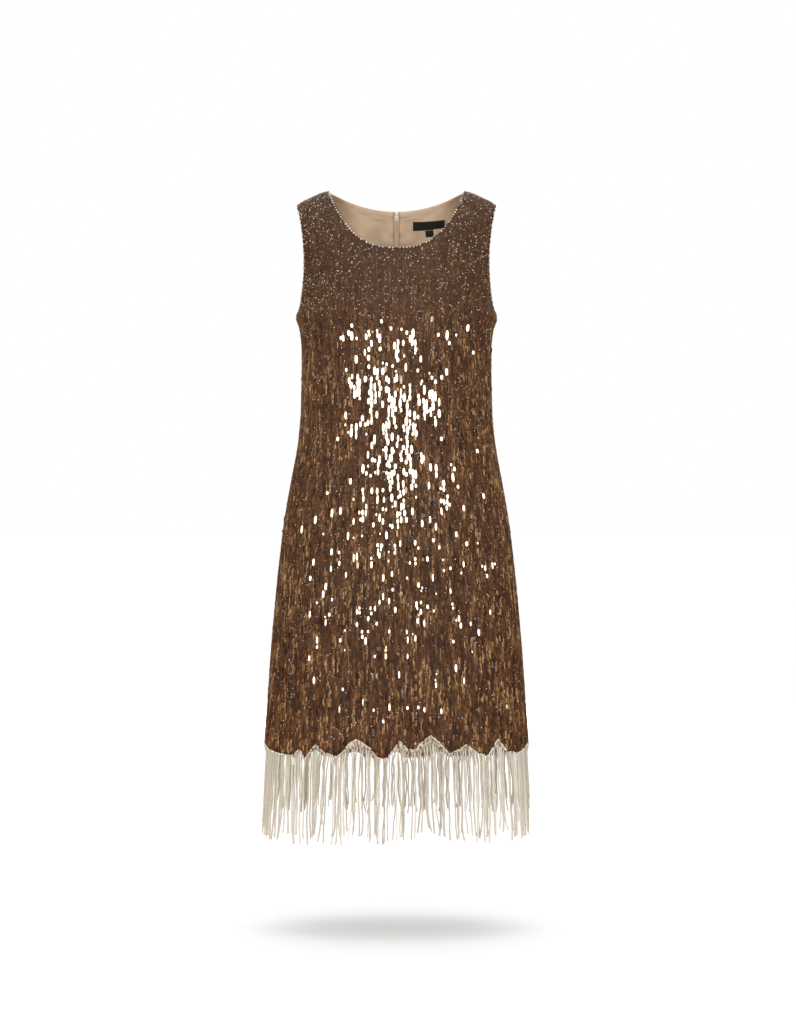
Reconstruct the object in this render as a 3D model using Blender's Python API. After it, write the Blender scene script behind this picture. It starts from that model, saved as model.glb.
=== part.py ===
"""Sleeveless shift dress with a scalloped hem and a fringe of hanging strands, worn shape, no wearer.

Metres, +Z up, the front faces -Y. The origin lies midway between the undersides of the two
shoulder straps at their neck ends, where a wearer's shoulders carry the dress.
"""

import math
import random
from collections import namedtuple

import bmesh
import bpy
import numpy as np
from mathutils import Matrix, Vector

# Driving dimensions
WALL = 0.0015
SEAM_GAP = 0.0003
NECK_HALF = 0.1055
SHOULDER_HALF = 0.154
SHOULDER_SLOPE = 0.4536
FRONT_NECK_DROP = 0.0990
FRONT_NECK_FULLNESS = 0.75
FRONT_NECK_BOW = 1.7
BACK_NECK_DROP = 0.0255
BACK_NECK_FULLNESS = 1.0
BACK_NECK_BOW = 2.0
UNDERARM_DROP = 0.196
BUST_DROP = 0.235
LAST_LEVEL_DROP = 0.822
TOP = WALL

# The form that the cloth hangs on: its section at each drop below the shoulder point
Section = namedtuple("Section", "drop half_width front_depth back_depth")
SECTIONS = (
    Section(0.000, 0.1840, 0.0600, 0.0750),
    Section(0.022, 0.1778, 0.0620, 0.0770),
    Section(0.050, 0.1691, 0.0700, 0.0830),
    Section(0.090, 0.1583, 0.0820, 0.0910),
    Section(0.125, 0.1521, 0.0940, 0.0960),
    Section(0.150, 0.1500, 0.1020, 0.0980),
    Section(0.172, 0.1497, 0.1070, 0.0988),
    Section(0.187, 0.1512, 0.1105, 0.0985),
    Section(0.196, 0.1544, 0.1120, 0.0980),
    Section(0.203, 0.1538, 0.1125, 0.0977),
    Section(0.213, 0.1504, 0.1133, 0.0973),
    Section(0.235, 0.1468, 0.1145, 0.0965),
    Section(0.265, 0.1459, 0.1148, 0.0950),
    Section(0.310, 0.1465, 0.1125, 0.0930),
    Section(0.360, 0.1484, 0.1095, 0.0925),
    Section(0.405, 0.1538, 0.1080, 0.0940),
    Section(0.450, 0.1621, 0.1080, 0.0980),
    Section(0.500, 0.1710, 0.1095, 0.1030),
    Section(0.600, 0.1833, 0.1125, 0.1105),
    Section(0.700, 0.1925, 0.1150, 0.1150),
    Section(0.800, 0.1996, 0.1170, 0.1185),
    Section(0.890, 0.2065, 0.1185, 0.1205),
)
SECTION_SQUARENESS = 0.85
SHOULDER_ROUNDING = 0.095
NECK_RISE = 0.028

# Soft flutes of the skirt: where round the body, how wide, how far out and where they start
Flute = namedtuple("Flute", "angle_deg width_deg depth top_drop")
FLUTES = (
    Flute(-63, 11, 0.0034, 0.50),
    Flute(-34, 9, 0.0030, 0.56),
    Flute(-8, 9, 0.0034, 0.50),
    Flute(21, 8, 0.0028, 0.58),
    Flute(41, 9, 0.0032, 0.52),
    Flute(66, 10, 0.0030, 0.56),
    Flute(112, 11, 0.0034, 0.52),
    Flute(140, 10, 0.0030, 0.56),
    Flute(166, 9, 0.0034, 0.50),
    Flute(196, 10, 0.0030, 0.56),
    Flute(222, 10, 0.0034, 0.52),
    Flute(250, 11, 0.0030, 0.56),
)
FLUTE_FULL_DROP = 0.84

# Columns and rows of a panel's grid
NECK_COLUMNS = 7
SHOULDER_COLUMNS = 2
ARMHOLE_STEPS = (0.20, 0.44, 0.66, 0.83, 0.94, 0.985, 1.00)
NECK_CROWDING = 1.25
TOP_STEPS = (0, 0.015, 0.06, 0.20, 0.36, 0.52, 0.68, 0.84, 1)
LEVELS = 10
SHOULDER_TIP_COSINE = 0.50
ARMHOLE_BEND = 1.6
ARMHOLE_ROUNDING = 0.59

# Scalloped hem: the front's edge at each of its columns, from left to right. It is uneven.
HemPoint = namedtuple("HemPoint", "x drop")
FRONT_HEM = (
    HemPoint(-0.2060, 0.8541),
    HemPoint(-0.1932, 0.8622),
    HemPoint(-0.1757, 0.8658),
    HemPoint(-0.1549, 0.8675),
    HemPoint(-0.1458, 0.8558),
    HemPoint(-0.1381, 0.8727),
    HemPoint(-0.1298, 0.8606),
    HemPoint(-0.1200, 0.8493),
    HemPoint(-0.1084, 0.8596),
    HemPoint(-0.0887, 0.8669),
    HemPoint(-0.0788, 0.8576),
    HemPoint(-0.0705, 0.8464),
    HemPoint(-0.0597, 0.8403),
    HemPoint(-0.0502, 0.8454),
    HemPoint(-0.0390, 0.8531),
    HemPoint(-0.0283, 0.8671),
    HemPoint(-0.0134, 0.8678),
    HemPoint(-0.0038, 0.8541),
    HemPoint(0.0048, 0.8420),
    HemPoint(0.0165, 0.8539),
    HemPoint(0.0270, 0.8556),
    HemPoint(0.0391, 0.8426),
    HemPoint(0.0515, 0.8348),
    HemPoint(0.0645, 0.8455),
    HemPoint(0.0782, 0.8618),
    HemPoint(0.0918, 0.8560),
    HemPoint(0.1048, 0.8488),
    HemPoint(0.1222, 0.8625),
    HemPoint(0.1360, 0.8664),
    HemPoint(0.1520, 0.8426),
    HemPoint(0.1670, 0.8620),
    HemPoint(0.1830, 0.8658),
    HemPoint(0.2060, 0.8525),
)
FRONT_HEM_HIGH = 0.8420
FRONT_HEM_LOW = 0.8680
BACK_LOBES_PER_HALF = 4
BACK_PEAK_DROP = 0.8525
BACK_LOBE_DROP = 0.8665
BACK_PEAK_DIP = 0.021
BACK_LOBE_DIP = 0.025
COLUMNS_PER_LOBE = 4
LOBE_FLATNESS = 1.35
LOBE_ROUNDING = 0.9

# Fringe
FRONT_STRANDS = 120
BACK_HALF_STRANDS = 60
STRAND_WIDTH = 0.0024
STRAND_DEPTH = 0.0016
FRONT_STRAND_LENGTH = 0.128
BACK_STRAND_LENGTH = 0.088
LENGTH_SPREAD = 0.008
SHORT_STRAND_SHARE = 0.12
SHORT_STRAND_CUT = 0.022
STRAND_STEPS = (0.5, 1)
STRAND_TIP_SCALE = 0.8
STRAND_FLARE = 0.05
RADIAL_SPREAD = 0.0012
STRIP_TOP_ABOVE_EDGE = 0.006
STRIP_HIDDEN = 0.0015
STRIP_SHOWS_AT_PEAK = 0.0105
# Sway of the strands' ends along the hem: how many waves round it, how far, and where they start
Sway = namedtuple("Sway", "waves reach phase")
SWAYS = (Sway(47, 0.0011, 0.4), Sway(29, 0.0013, 2.1), Sway(11, 0.0016, 4.4))

# Lining, zip and labels
LINING = 0.0010
LINING_LEVELS = 9
TAPE_HALF = 0.0052
ZIP_LEVELS = 5
# Half of the opening between the zip's two sides, row by row from the neck edge
ZIP_OPENING = (0.0030, 0.0024, 0.0006)
LABEL_LAYER = 0.0008
TAB_CORNER = 0.05
# A tab's place on the right half's lining in its grid's columns and rows: the two ends of its
# upper edge, then those of its lower edge
Tab = namedtuple("Tab", "upper_columns upper_rows lower_columns lower_rows")
NECK_LABEL = Tab((0.966, 3.498), (2.102, 2.457), (1.020, 3.703), (2.568, 2.859))
SIZE_TAB = Tab((1.870, 2.514), (2.685, 2.752), (1.972, 2.668), (3.031, 3.105))

SLIDER_LENGTH = 0.0080
SLIDER_INSIDE = (0.0070, 0.0022)
SLIDER_OUTSIDE = (0.0044, 0.0010)
SLIDER_STEM_WIDTH = 0.0016
SLIDER_STEM_LENGTH = 0.0046
BRIDGE_WIDTH = 0.0014
BRIDGE_HALF_LENGTH = 0.0026
BRIDGE_HALF_OPENING = 0.0018
BRIDGE_OPENING_HIGH = 0.0034
BRIDGE_TOP = 0.0042
PULL_AXIS_OUT = 0.00235
PULL_AXIS_DOWN = 0.00075
PULL_THICKNESS = 0.0009
PULL_LENGTH = 0.0220
PULL_TOP_WIDTH = 0.0042
PULL_END_WIDTH = 0.0060
PULL_WINDOW_HALF = 0.0011
PULL_WINDOW_END = 0.0044


def smooth_step(value):
    """0 below 0, 1 above 1, and an even S curve between them."""
    share = np.clip(value, 0, 1)
    return share * share * (3 - 2 * share)


def section_value(column, drop):
    """A column of SECTIONS at any drop, on a smooth curve through its rows."""
    drops = np.array([row.drop for row in SECTIONS])
    values = np.array([getattr(row, column) for row in SECTIONS])
    slopes = np.gradient(values, drops)
    drop = np.clip(drop, drops[0], drops[-1])
    low = np.clip(np.searchsorted(drops, drop, side="right") - 1, 0, len(drops) - 2)
    span = drops[low + 1] - drops[low]
    share = (drop - drops[low]) / span
    rise = smooth_step(share)
    bend = share * (1 - share)
    start = bend * (1 - share) * span * slopes[low]
    end = bend * share * span * slopes[low + 1]
    return values[low] * (1 - rise) + values[low + 1] * rise + start - end


def ridge_drop(x):
    """Drop of the form's top ridge: the shoulder seam outside the neck, a gentle rise inside it."""
    beyond_neck = np.abs(x) - NECK_HALF
    inside = -NECK_RISE * (1 - (x / NECK_HALF) ** 2)
    return np.where(beyond_neck > 0, SHOULDER_SLOPE * beyond_neck, inside)


def flute_reach(angle, drop):
    """How far the skirt's flutes stand out at an angle round the body and a drop."""
    reach = 0.0
    for flute in FLUTES:
        away = np.degrees(angle) - flute.angle_deg
        away = (away + 180) % 360 - 180
        grown = smooth_step((drop - flute.top_drop) / (FLUTE_FULL_DROP - flute.top_drop))
        reach = reach + flute.depth * grown * np.exp(-((away / flute.width_deg) ** 2))
    return reach


def form(angle, drop):
    """The outside of the cloth. The angle turns from the front's middle, 0, through +X, 90 degrees."""
    angle, drop = np.broadcast_arrays(np.asarray(angle, float), np.asarray(drop, float))
    x = section_value("half_width", drop) * np.sin(angle)
    forward = np.cos(angle)
    front = section_value("front_depth", drop)
    back = section_value("back_depth", drop)
    depth = np.where(forward >= 0, front, back)
    rounding = SHOULDER_ROUNDING + np.maximum(0, -ridge_drop(x))
    below = np.clip((drop - ridge_drop(x)) / rounding, 0, 1)
    cap = np.sqrt(1 - (1 - below) ** 2)
    y = -depth * np.sign(forward) * np.abs(forward) ** SECTION_SQUARENESS * cap
    reach = flute_reach(angle, drop)
    return np.stack([x + reach * np.sin(angle), y - reach * forward, TOP - drop], axis=-1)


def outward(angle, drop):
    """The form's outward normal, from two very short steps along it."""
    step = 1e-5
    across = form(angle + step, drop) - form(angle - step, drop)
    down = form(angle, drop + step) - form(angle, drop)
    normal = np.cross(down, across)
    return normal / np.linalg.norm(normal, axis=-1, keepdims=True)


def angle_at(x, drop):
    """The angle at which the form reaches this x at this drop."""
    return np.arcsin(np.clip(x / section_value("half_width", drop), -1, 1))


def top_edge(neck_drop, neck_fullness, neck_bow):
    """Angle and drop of each column's top end from the middle out: neckline, shoulder seam, armhole."""
    ends = []
    for k in range(NECK_COLUMNS):
        turn = math.pi / 2 * (1 - (1 - k / NECK_COLUMNS) ** NECK_CROWDING)
        x = NECK_HALF * math.sin(turn) ** neck_fullness
        drop = neck_drop * math.cos(turn) ** neck_bow
        ends.append((float(angle_at(x, drop)), drop))
    for k in range(SHOULDER_COLUMNS + 1):
        x = NECK_HALF + (SHOULDER_HALF - NECK_HALF) * k / SHOULDER_COLUMNS
        drop = float(ridge_drop(x))
        ends.append((float(angle_at(x, drop)), drop))
    tip_drop = ends[-1][1]
    for share in ARMHOLE_STEPS:
        drop = tip_drop + share * (UNDERARM_DROP - tip_drop)
        closing = (1 - share**ARMHOLE_BEND) ** ARMHOLE_ROUNDING
        ends.append((math.acos(SHOULDER_TIP_COSINE * closing), drop))
    return ends


def lobe_shape(share):
    """How far down a lobe of the hem reaches: 0 at its peaks, 1 over its flat middle."""
    return min(1.0, LOBE_FLATNESS * math.sin(math.pi * share)) ** LOBE_ROUNDING


def front_hem():
    """Angle, edge drop and lobe shape of each of the front's columns at the hem, left to right."""
    columns = []
    for point in FRONT_HEM:
        shape = (point.drop - FRONT_HEM_HIGH) / (FRONT_HEM_LOW - FRONT_HEM_HIGH)
        angle = float(angle_at(point.x, point.drop))
        columns.append((angle, point.drop, min(1.0, max(0.0, shape))))
    return columns


def back_hem():
    """The same of one back half, middle to side, as angles from the middle of the back.

    The back's hem dips towards the middle, by the dips' lengths in all.
    """
    angles = np.linspace(0, math.pi / 2, 181)
    ring = form(math.pi - angles, BACK_PEAK_DROP)
    run = np.concatenate([[0], np.cumsum(np.linalg.norm(np.diff(ring, axis=0), axis=1))])
    stops = np.interp(np.linspace(0, run[-1], BACK_LOBES_PER_HALF + 1), run, angles)
    columns = []
    for start, end in zip(stops, stops[1:]):
        for step in range(COLUMNS_PER_LOBE):
            share = step / COLUMNS_PER_LOBE
            shape = lobe_shape(share)
            angle = start + share * (end - start)
            peak = BACK_PEAK_DROP + BACK_PEAK_DIP * math.cos(angle)
            lobe = BACK_LOBE_DROP + BACK_LOBE_DIP * math.cos(angle)
            columns.append((angle, peak + shape * (lobe - peak), shape))
    columns.append((stops[-1], BACK_PEAK_DROP, 0.0))
    return columns


def grid_of(tops, hems):
    """Angles and drops of a panel's grid, rows by columns, from its columns' two ends."""
    levels = np.linspace(BUST_DROP, LAST_LEVEL_DROP, LEVELS + 1)[1:]
    bust_angles = np.linspace(tops[0][0], tops[-1][0], len(tops))
    angles, drops = [], []
    for (top_angle, top_drop), bust_angle, (hem_angle, hem_drop, _) in zip(
        tops, bust_angles, hems
    ):
        upper = [top_drop + share * (BUST_DROP - top_drop) for share in TOP_STEPS]
        drop = np.array([*upper, *levels, hem_drop])
        share = np.clip((drop - top_drop) / (BUST_DROP - top_drop), 0, 1)
        lower = smooth_step((drop - BUST_DROP) / (LAST_LEVEL_DROP - BUST_DROP))
        angle = top_angle + (bust_angle - top_angle) * share
        angles.append(angle + (hem_angle - bust_angle) * lower)
        drops.append(drop)
    return np.array(angles).T, np.array(drops).T


def surface_of(angles, drops):
    """Outside points and normals of a panel's grid. The shoulder seam's own row points up."""
    points = form(angles, drops)
    normals = outward(angles, drops)
    on_seam = np.abs(drops[0] - ridge_drop(points[0, :, 0])) < 1e-6
    for column in np.flatnonzero(on_seam):
        side = math.copysign(SHOULDER_SLOPE, points[0, column, 0])
        normals[0, column] = np.array([side, 0, 1]) / math.hypot(1, SHOULDER_SLOPE)
    return points, normals


def kept_behind_seams(points, front, side=0, middle=None):
    """Points held half a seam gap behind the side and shoulder seams, and behind the zip's edges."""
    held = points.copy()
    half = SEAM_GAP / 2
    held[..., 1] = np.minimum(held[..., 1], -half) if front else np.maximum(held[..., 1], half)
    if side:
        held[:, 0, 0] = side * middle
    return held


def new_object(name, mesh, material, parent):
    mesh.materials.append(material)
    obj = bpy.data.objects.new(name, mesh)
    bpy.context.scene.collection.objects.link(obj)
    obj.parent = parent
    return obj


def mesh_from(name, points, faces):
    """A closed mesh with its faces turned outwards, shaded smooth but for its sharp edges."""
    mesh = bpy.data.meshes.new(name)
    mesh.from_pydata([tuple(point) for point in points], [], faces)
    shape = bmesh.new()
    shape.from_mesh(mesh)
    bmesh.ops.recalc_face_normals(shape, faces=shape.faces)
    shape.to_mesh(mesh)
    shape.free()
    mesh.shade_smooth()
    mesh.set_sharp_from_angle(angle=math.radians(40))
    return mesh


def sheet_solid(name, outside, inside, material, parent):
    """A wall of cloth between two grids of points, closed round its rim."""
    rows, columns = outside.shape[:2]
    index = np.arange(rows * columns).reshape(rows, columns)
    far = rows * columns
    faces = []
    for r in range(rows - 1):
        for c in range(columns - 1):
            a, b = int(index[r, c]), int(index[r, c + 1])
            d, e = int(index[r + 1, c]), int(index[r + 1, c + 1])
            faces += [(a, d, e), (a, e, b)]
            faces += [(a + far, e + far, d + far), (a + far, b + far, e + far)]
    rim = [*index[0, :], *index[1:, -1], *index[-1, -2::-1], *index[-2:0:-1, 0]]
    for here, after in zip(rim, rim[1:] + rim[:1]):
        faces.append((int(here), int(after), int(after + far), int(here + far)))
    points = np.concatenate([outside.reshape(-1, 3), inside.reshape(-1, 3)])
    return new_object(name, mesh_from(name, points, faces), material, parent)


def layer(points, normals, near, far):
    """Two grids of points under a surface, at two depths."""
    return points - near * normals, points - far * normals


def at_column(grid, position):
    """A point of one row of a grid between its columns, on the straight line from one to the next."""
    column = min(int(position), len(grid) - 2)
    share = position - column
    return grid[column] * (1 - share) + grid[column + 1] * share


def at_place(grid, column, row):
    """A point of a grid between its rows and columns."""
    low = min(int(row), len(grid) - 2)
    share = row - low
    return at_column(grid[low], column) * (1 - share) + at_column(grid[low + 1], column) * share


def strand_sway(angle):
    """How far a strand's end swings along the hem, the same on both sides of a side seam."""
    return sum(s.reach * math.sin(s.waves * angle + s.phase) for s in SWAYS)


def fringe_solid(name, panel, hems, strands, seed, material, parent):
    """A strip under the hem's edge with evenly spaced strands hanging from it.

    The panel is (inside points, normals, angles) and strands is (count, length). Each strand has
    three sides. Its root is a triangle of the strip's lower face, so all of it is one body.
    """
    inside, normals, angles = panel
    count, full_length = strands
    chance = random.Random(seed)
    edge = np.array([drop for _, drop, _ in hems])
    shape = np.array([lobe for _, _, lobe in hems])
    strip_bottom = edge - STRIP_HIDDEN + (STRIP_SHOWS_AT_PEAK + STRIP_HIDDEN) * (1 - shape)
    strip_top = edge - STRIP_TOP_ABOVE_EDGE
    reach_down = edge - LAST_LEVEL_DROP

    def under_panel(position, drops, depth):
        drop_share = [
            (drops[k] - LAST_LEVEL_DROP) / reach_down[k] for k in range(len(hems))
        ]
        row = np.array(
            [
                inside[-2, k] * (1 - s) + inside[-1, k] * s - depth * normals[-1, k]
                for k, s in enumerate(drop_share)
            ]
        )
        return at_column(row, position)

    steps = np.linalg.norm(np.diff(inside[-1, :, :2], axis=0), axis=1)
    run = np.concatenate([[0], np.cumsum(steps)])
    stops = run[-1] * (np.arange(count) + 0.5) / count
    points, faces = [], []

    def add(point):
        points.append(point)
        return len(points) - 1

    previous = None
    for middle in np.interp(stops, run, np.arange(len(hems))):
        column = min(int(middle), len(hems) - 2)
        width_here = np.linalg.norm(inside[-1, column + 1] - inside[-1, column])
        half = STRAND_WIDTH / 2 / width_here
        outer = SEAM_GAP
        inner = SEAM_GAP + STRAND_DEPTH
        left = add(under_panel(middle - half, strip_bottom, outer))
        right = add(under_panel(middle + half, strip_bottom, outer))
        back = add(under_panel(middle, strip_bottom, inner))
        top_out = add(under_panel(middle, strip_top, outer))
        top_in = add(under_panel(middle, strip_top, inner))

        angle = at_column(angles[-1], middle)
        out = np.array([math.sin(angle), -math.cos(angle), 0])
        along = (points[right] - points[left]) * np.array([1, 1, 0])
        along = along / np.linalg.norm(along)
        length = full_length + chance.uniform(-1, 1) * LENGTH_SPREAD
        radial = chance.uniform(-1, 1) * RADIAL_SPREAD
        if chance.random() < SHORT_STRAND_SHARE:
            length -= chance.uniform(0.3, 1) * SHORT_STRAND_CUT
        ring = [left, right, back]
        centre = (points[left] + points[right] + points[back]) / 3
        for step in STRAND_STEPS:
            size = 1 - (1 - STRAND_TIP_SCALE) * step
            shift = out * (STRAND_FLARE * length * step + radial * step)
            shift = shift + along * strand_sway(angle) * step**1.4
            shift[2] -= length * step
            lower = []
            for root in (left, right, back):
                across = (points[root] - centre) * size
                across[2] *= 1 - step
                lower.append(add(centre + across + shift))
            for i in range(3):
                j = (i + 1) % 3
                faces.append((ring[i], lower[i], lower[j], ring[j]))
            ring = lower
        faces.append((ring[0], ring[1], ring[2]))

        faces.append((left, right, top_out))
        if previous is None:
            faces.append((left, top_out, top_in, back))
        else:
            p_right, p_back, p_top_out, p_top_in = previous
            faces.append((p_right, left, p_top_out))
            faces.append((left, top_out, p_top_out))
            faces.append((p_right, p_back, left))
            faces.append((left, p_back, back))
            faces.append((p_back, p_top_in, top_in, back))
            faces.append((p_top_out, top_out, top_in, p_top_in))
        previous = (right, back, top_out, top_in)
    right, back, top_out, top_in = previous
    faces.append((right, back, top_in, top_out))
    return new_object(name, mesh_from(name, points, faces), material, parent)


def label_solid(name, surface, tab, material, parent):
    """A flat tab on the lining, with a corner wherever it crosses one of the lining's columns.

    The surface is (inside points, normals).
    """
    inside, normals = surface
    first = max(tab.upper_columns[0], tab.lower_columns[0])
    last = min(tab.upper_columns[1], tab.lower_columns[1])
    crossed = range(math.ceil(first + TAB_CORNER), math.ceil(last - TAB_CORNER))
    near, far = [], []
    for ends, rows in (
        (tab.upper_columns, tab.upper_rows),
        (tab.lower_columns, tab.lower_rows),
    ):
        near_row, far_row = [], []
        for stop in (ends[0], *crossed, ends[1]):
            row = np.interp(stop, ends, rows)
            point = at_place(inside, stop, row)
            normal = at_place(normals, stop, row)
            near_row.append(point - SEAM_GAP * normal)
            far_row.append(point - (SEAM_GAP + LABEL_LAYER) * normal)
        near.append(near_row)
        far.append(far_row)
    return sheet_solid(name, np.array(near), np.array(far), material, parent)


def material_of(name, colour, roughness, metallic=0.0):
    made = bpy.data.materials.new(name)
    made.use_nodes = True
    shader = made.node_tree.nodes["Principled BSDF"]
    shader.inputs["Base Color"].default_value = (*colour, 1)
    shader.inputs["Roughness"].default_value = roughness
    shader.inputs["Metallic"].default_value = metallic
    return made


def block(name, low, high):
    """A box between two corners, as a mesh in its own object's frame."""
    mesh = bpy.data.meshes.new(name)
    shape = bmesh.new()
    bmesh.ops.create_cube(shape, size=1)
    size = Vector(high) - Vector(low)
    middle = (Vector(high) + Vector(low)) / 2
    bmesh.ops.scale(shape, vec=size, verts=shape.verts)
    bmesh.ops.translate(shape, vec=middle, verts=shape.verts)
    shape.to_mesh(mesh)
    shape.free()
    return mesh


def joined(base, operation, helpers):
    """Adds a Boolean to base for each helper, which is hidden from the result."""
    for helper in helpers:
        helper.hide_render = True
        helper.display_type = "WIRE"
        helper.parent = base
        boolean = base.modifiers.new(helper.name, "BOOLEAN")
        boolean.operation = operation
        boolean.object = helper
    return base


def zip_slider(frame, panel_depth, material, parent):
    """The slider: a body inside the dress, a stem through the zip, and a plate with a bridge outside.

    Its own frame has X across, Y out of the cloth and Z up along it, from the panel's outside.
    """
    half = SLIDER_LENGTH / 2
    inner_face = -(panel_depth + SEAM_GAP * 1.3)
    inside_width, inside_depth = SLIDER_INSIDE
    outside_width, outside_depth = SLIDER_OUTSIDE
    seat = SEAM_GAP * 1.3
    body = block(
        "zip_slider",
        (-inside_width / 2, inner_face - inside_depth, -half),
        (inside_width / 2, inner_face, half),
    )
    stem = block(
        "slider_stem",
        (-SLIDER_STEM_WIDTH / 2, inner_face - inside_depth / 2, -SLIDER_STEM_LENGTH / 2),
        (SLIDER_STEM_WIDTH / 2, seat + outside_depth / 2, SLIDER_STEM_LENGTH / 2),
    )
    plate = block(
        "slider_plate",
        (-outside_width / 2, seat, -half),
        (outside_width / 2, seat + outside_depth, half),
    )
    bridge = block(
        "slider_bridge",
        (-BRIDGE_WIDTH / 2, seat + outside_depth / 2, -BRIDGE_HALF_LENGTH),
        (BRIDGE_WIDTH / 2, BRIDGE_TOP, BRIDGE_HALF_LENGTH),
    )
    opening = block(
        "bridge_opening",
        (-BRIDGE_WIDTH, seat + outside_depth, -BRIDGE_HALF_OPENING),
        (BRIDGE_WIDTH, BRIDGE_OPENING_HIGH, BRIDGE_HALF_OPENING),
    )
    slider = new_object("zip_slider", body, material, parent)
    slider.matrix_local = frame
    unions = [new_object(mesh.name, mesh, material, slider) for mesh in (stem, plate, bridge)]
    joined(slider, "UNION", unions)
    joined(slider, "DIFFERENCE", [new_object(opening.name, opening, material, slider)])
    return slider


def zip_pull(frame, material, parent):
    """The pull tab, hanging from the bridge. Its origin is on its hinge, with X along the hinge."""
    top = PULL_THICKNESS / 2
    half = PULL_THICKNESS / 2
    round_start = PULL_LENGTH - PULL_END_WIDTH / 2
    outline = [(-PULL_TOP_WIDTH / 2, top), (-PULL_TOP_WIDTH / 2, -PULL_WINDOW_END)]
    for step in range(9):
        turn = math.pi * step / 8
        x = -PULL_END_WIDTH / 2 * math.cos(turn)
        outline.append((x, -round_start - PULL_END_WIDTH / 2 * math.sin(turn)))
    outline += [(PULL_TOP_WIDTH / 2, -PULL_WINDOW_END), (PULL_TOP_WIDTH / 2, top)]
    count = len(outline)
    points = [(x, y, z) for y in (-half, half) for x, z in outline]
    faces = [tuple(range(count)), tuple(range(2 * count - 1, count - 1, -1))]
    for k in range(count):
        after = (k + 1) % count
        faces.append((k, after, after + count, k + count))
    pull = new_object("zip_pull", mesh_from("zip_pull", points, faces), material, parent)
    pull.matrix_local = frame
    window = block(
        "pull_window",
        (-PULL_WINDOW_HALF, -2 * half, -PULL_WINDOW_END),
        (PULL_WINDOW_HALF, 2 * half, -top),
    )
    joined(pull, "DIFFERENCE", [new_object(window.name, window, material, pull)])
    return pull


def facet_frame(points):
    """The middle of the zip's second row of facets, with Y out of the cloth and Z up along it."""
    upper, lower = points[1, 0], points[2, 0]
    up = Vector(upper - lower)
    up.x = 0
    up.normalize()
    across = Vector((1, 0, 0))
    out = up.cross(across)
    middle = Vector((upper + lower) / 2)
    middle.x = 0
    frame = Matrix((across, out, up)).transposed().to_4x4()
    frame.translation = middle
    return frame


def front_panel(cloth, fringe, parent):
    half_tops = top_edge(FRONT_NECK_DROP, FRONT_NECK_FULLNESS, FRONT_NECK_BOW)
    tops = [(-angle, drop) for angle, drop in half_tops[:0:-1]] + half_tops
    hems = front_hem()
    angles, drops = grid_of(tops, hems)
    points, normals = surface_of(angles, drops)
    outside = kept_behind_seams(points, front=True)
    inside = kept_behind_seams(points - WALL * normals, front=True)
    sheet_solid("front_panel", outside, inside, cloth, parent)
    panel = (inside, normals, angles)
    strands = (FRONT_STRANDS, FRONT_STRAND_LENGTH)
    fringe_solid("front_fringe", panel, hems, strands, 5, fringe, parent)


def zip_half_opening(rows):
    """Half of the gap between the back's two edges, row by row."""
    closed = [SEAM_GAP / 2] * (rows - len(ZIP_OPENING))
    return np.array([*ZIP_OPENING, *closed])


def back_half(side, name, materials, parent):
    """One back panel with its lining, zip tape and fringe. side is 1 towards +X and -1 towards -X."""
    cloth, lining, tape, fringe = materials
    hems = back_hem()
    tops = top_edge(BACK_NECK_DROP, BACK_NECK_FULLNESS, BACK_NECK_BOW)
    angles, drops = grid_of(tops, hems)
    ring = side * (math.pi - angles)
    points, normals = surface_of(ring, drops)
    opening = zip_half_opening(len(points))
    outside = kept_behind_seams(points, False, side, opening)
    inside = kept_behind_seams(points - WALL * normals, False, side, opening)
    sheet_solid(f"back_panel_{name}", outside, inside, cloth, parent)
    panel = (inside, normals, ring)
    seed = 11 if side > 0 else 12
    strands = (BACK_HALF_STRANDS, BACK_STRAND_LENGTH)
    fringe_solid(f"back_fringe_{name}", panel, hems, strands, seed, fringe, parent)

    near, far = layer(inside, normals, SEAM_GAP, SEAM_GAP + LINING)
    near = kept_behind_seams(near, False, side, opening)
    far = kept_behind_seams(far, False, side, opening)

    def cut_at(grid, distance):
        """The grid's row ends moved out from the middle, along each row's first facet."""
        share = (distance - grid[:, 0, 0] * side) / ((grid[:, 1, 0] - grid[:, 0, 0]) * side)
        return grid[:, 0] + share[:, None] * (grid[:, 1] - grid[:, 0])

    lining_rows = len(TOP_STEPS) + LINING_LEVELS
    lining_near, lining_far = near[:lining_rows].copy(), far[:lining_rows].copy()
    lining_start = TAPE_HALF + SEAM_GAP
    lining_near[:, 0] = cut_at(near, lining_start)[:lining_rows]
    lining_far[:, 0] = cut_at(far, lining_start)[:lining_rows]
    sheet_solid(f"back_lining_{name}", lining_near, lining_far, lining, parent)

    zip_rows = len(TOP_STEPS) + ZIP_LEVELS
    tape_near = np.stack([near[:, 0], cut_at(near, TAPE_HALF)], axis=1)[:zip_rows]
    tape_far = np.stack([far[:, 0], cut_at(far, TAPE_HALF)], axis=1)[:zip_rows]
    sheet_solid(f"zip_tape_{name}", tape_near, tape_far, tape, parent)
    return outside, (lining_far, normals)


def clear_scene():
    for obj in list(bpy.data.objects):
        bpy.data.objects.remove(obj)


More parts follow.
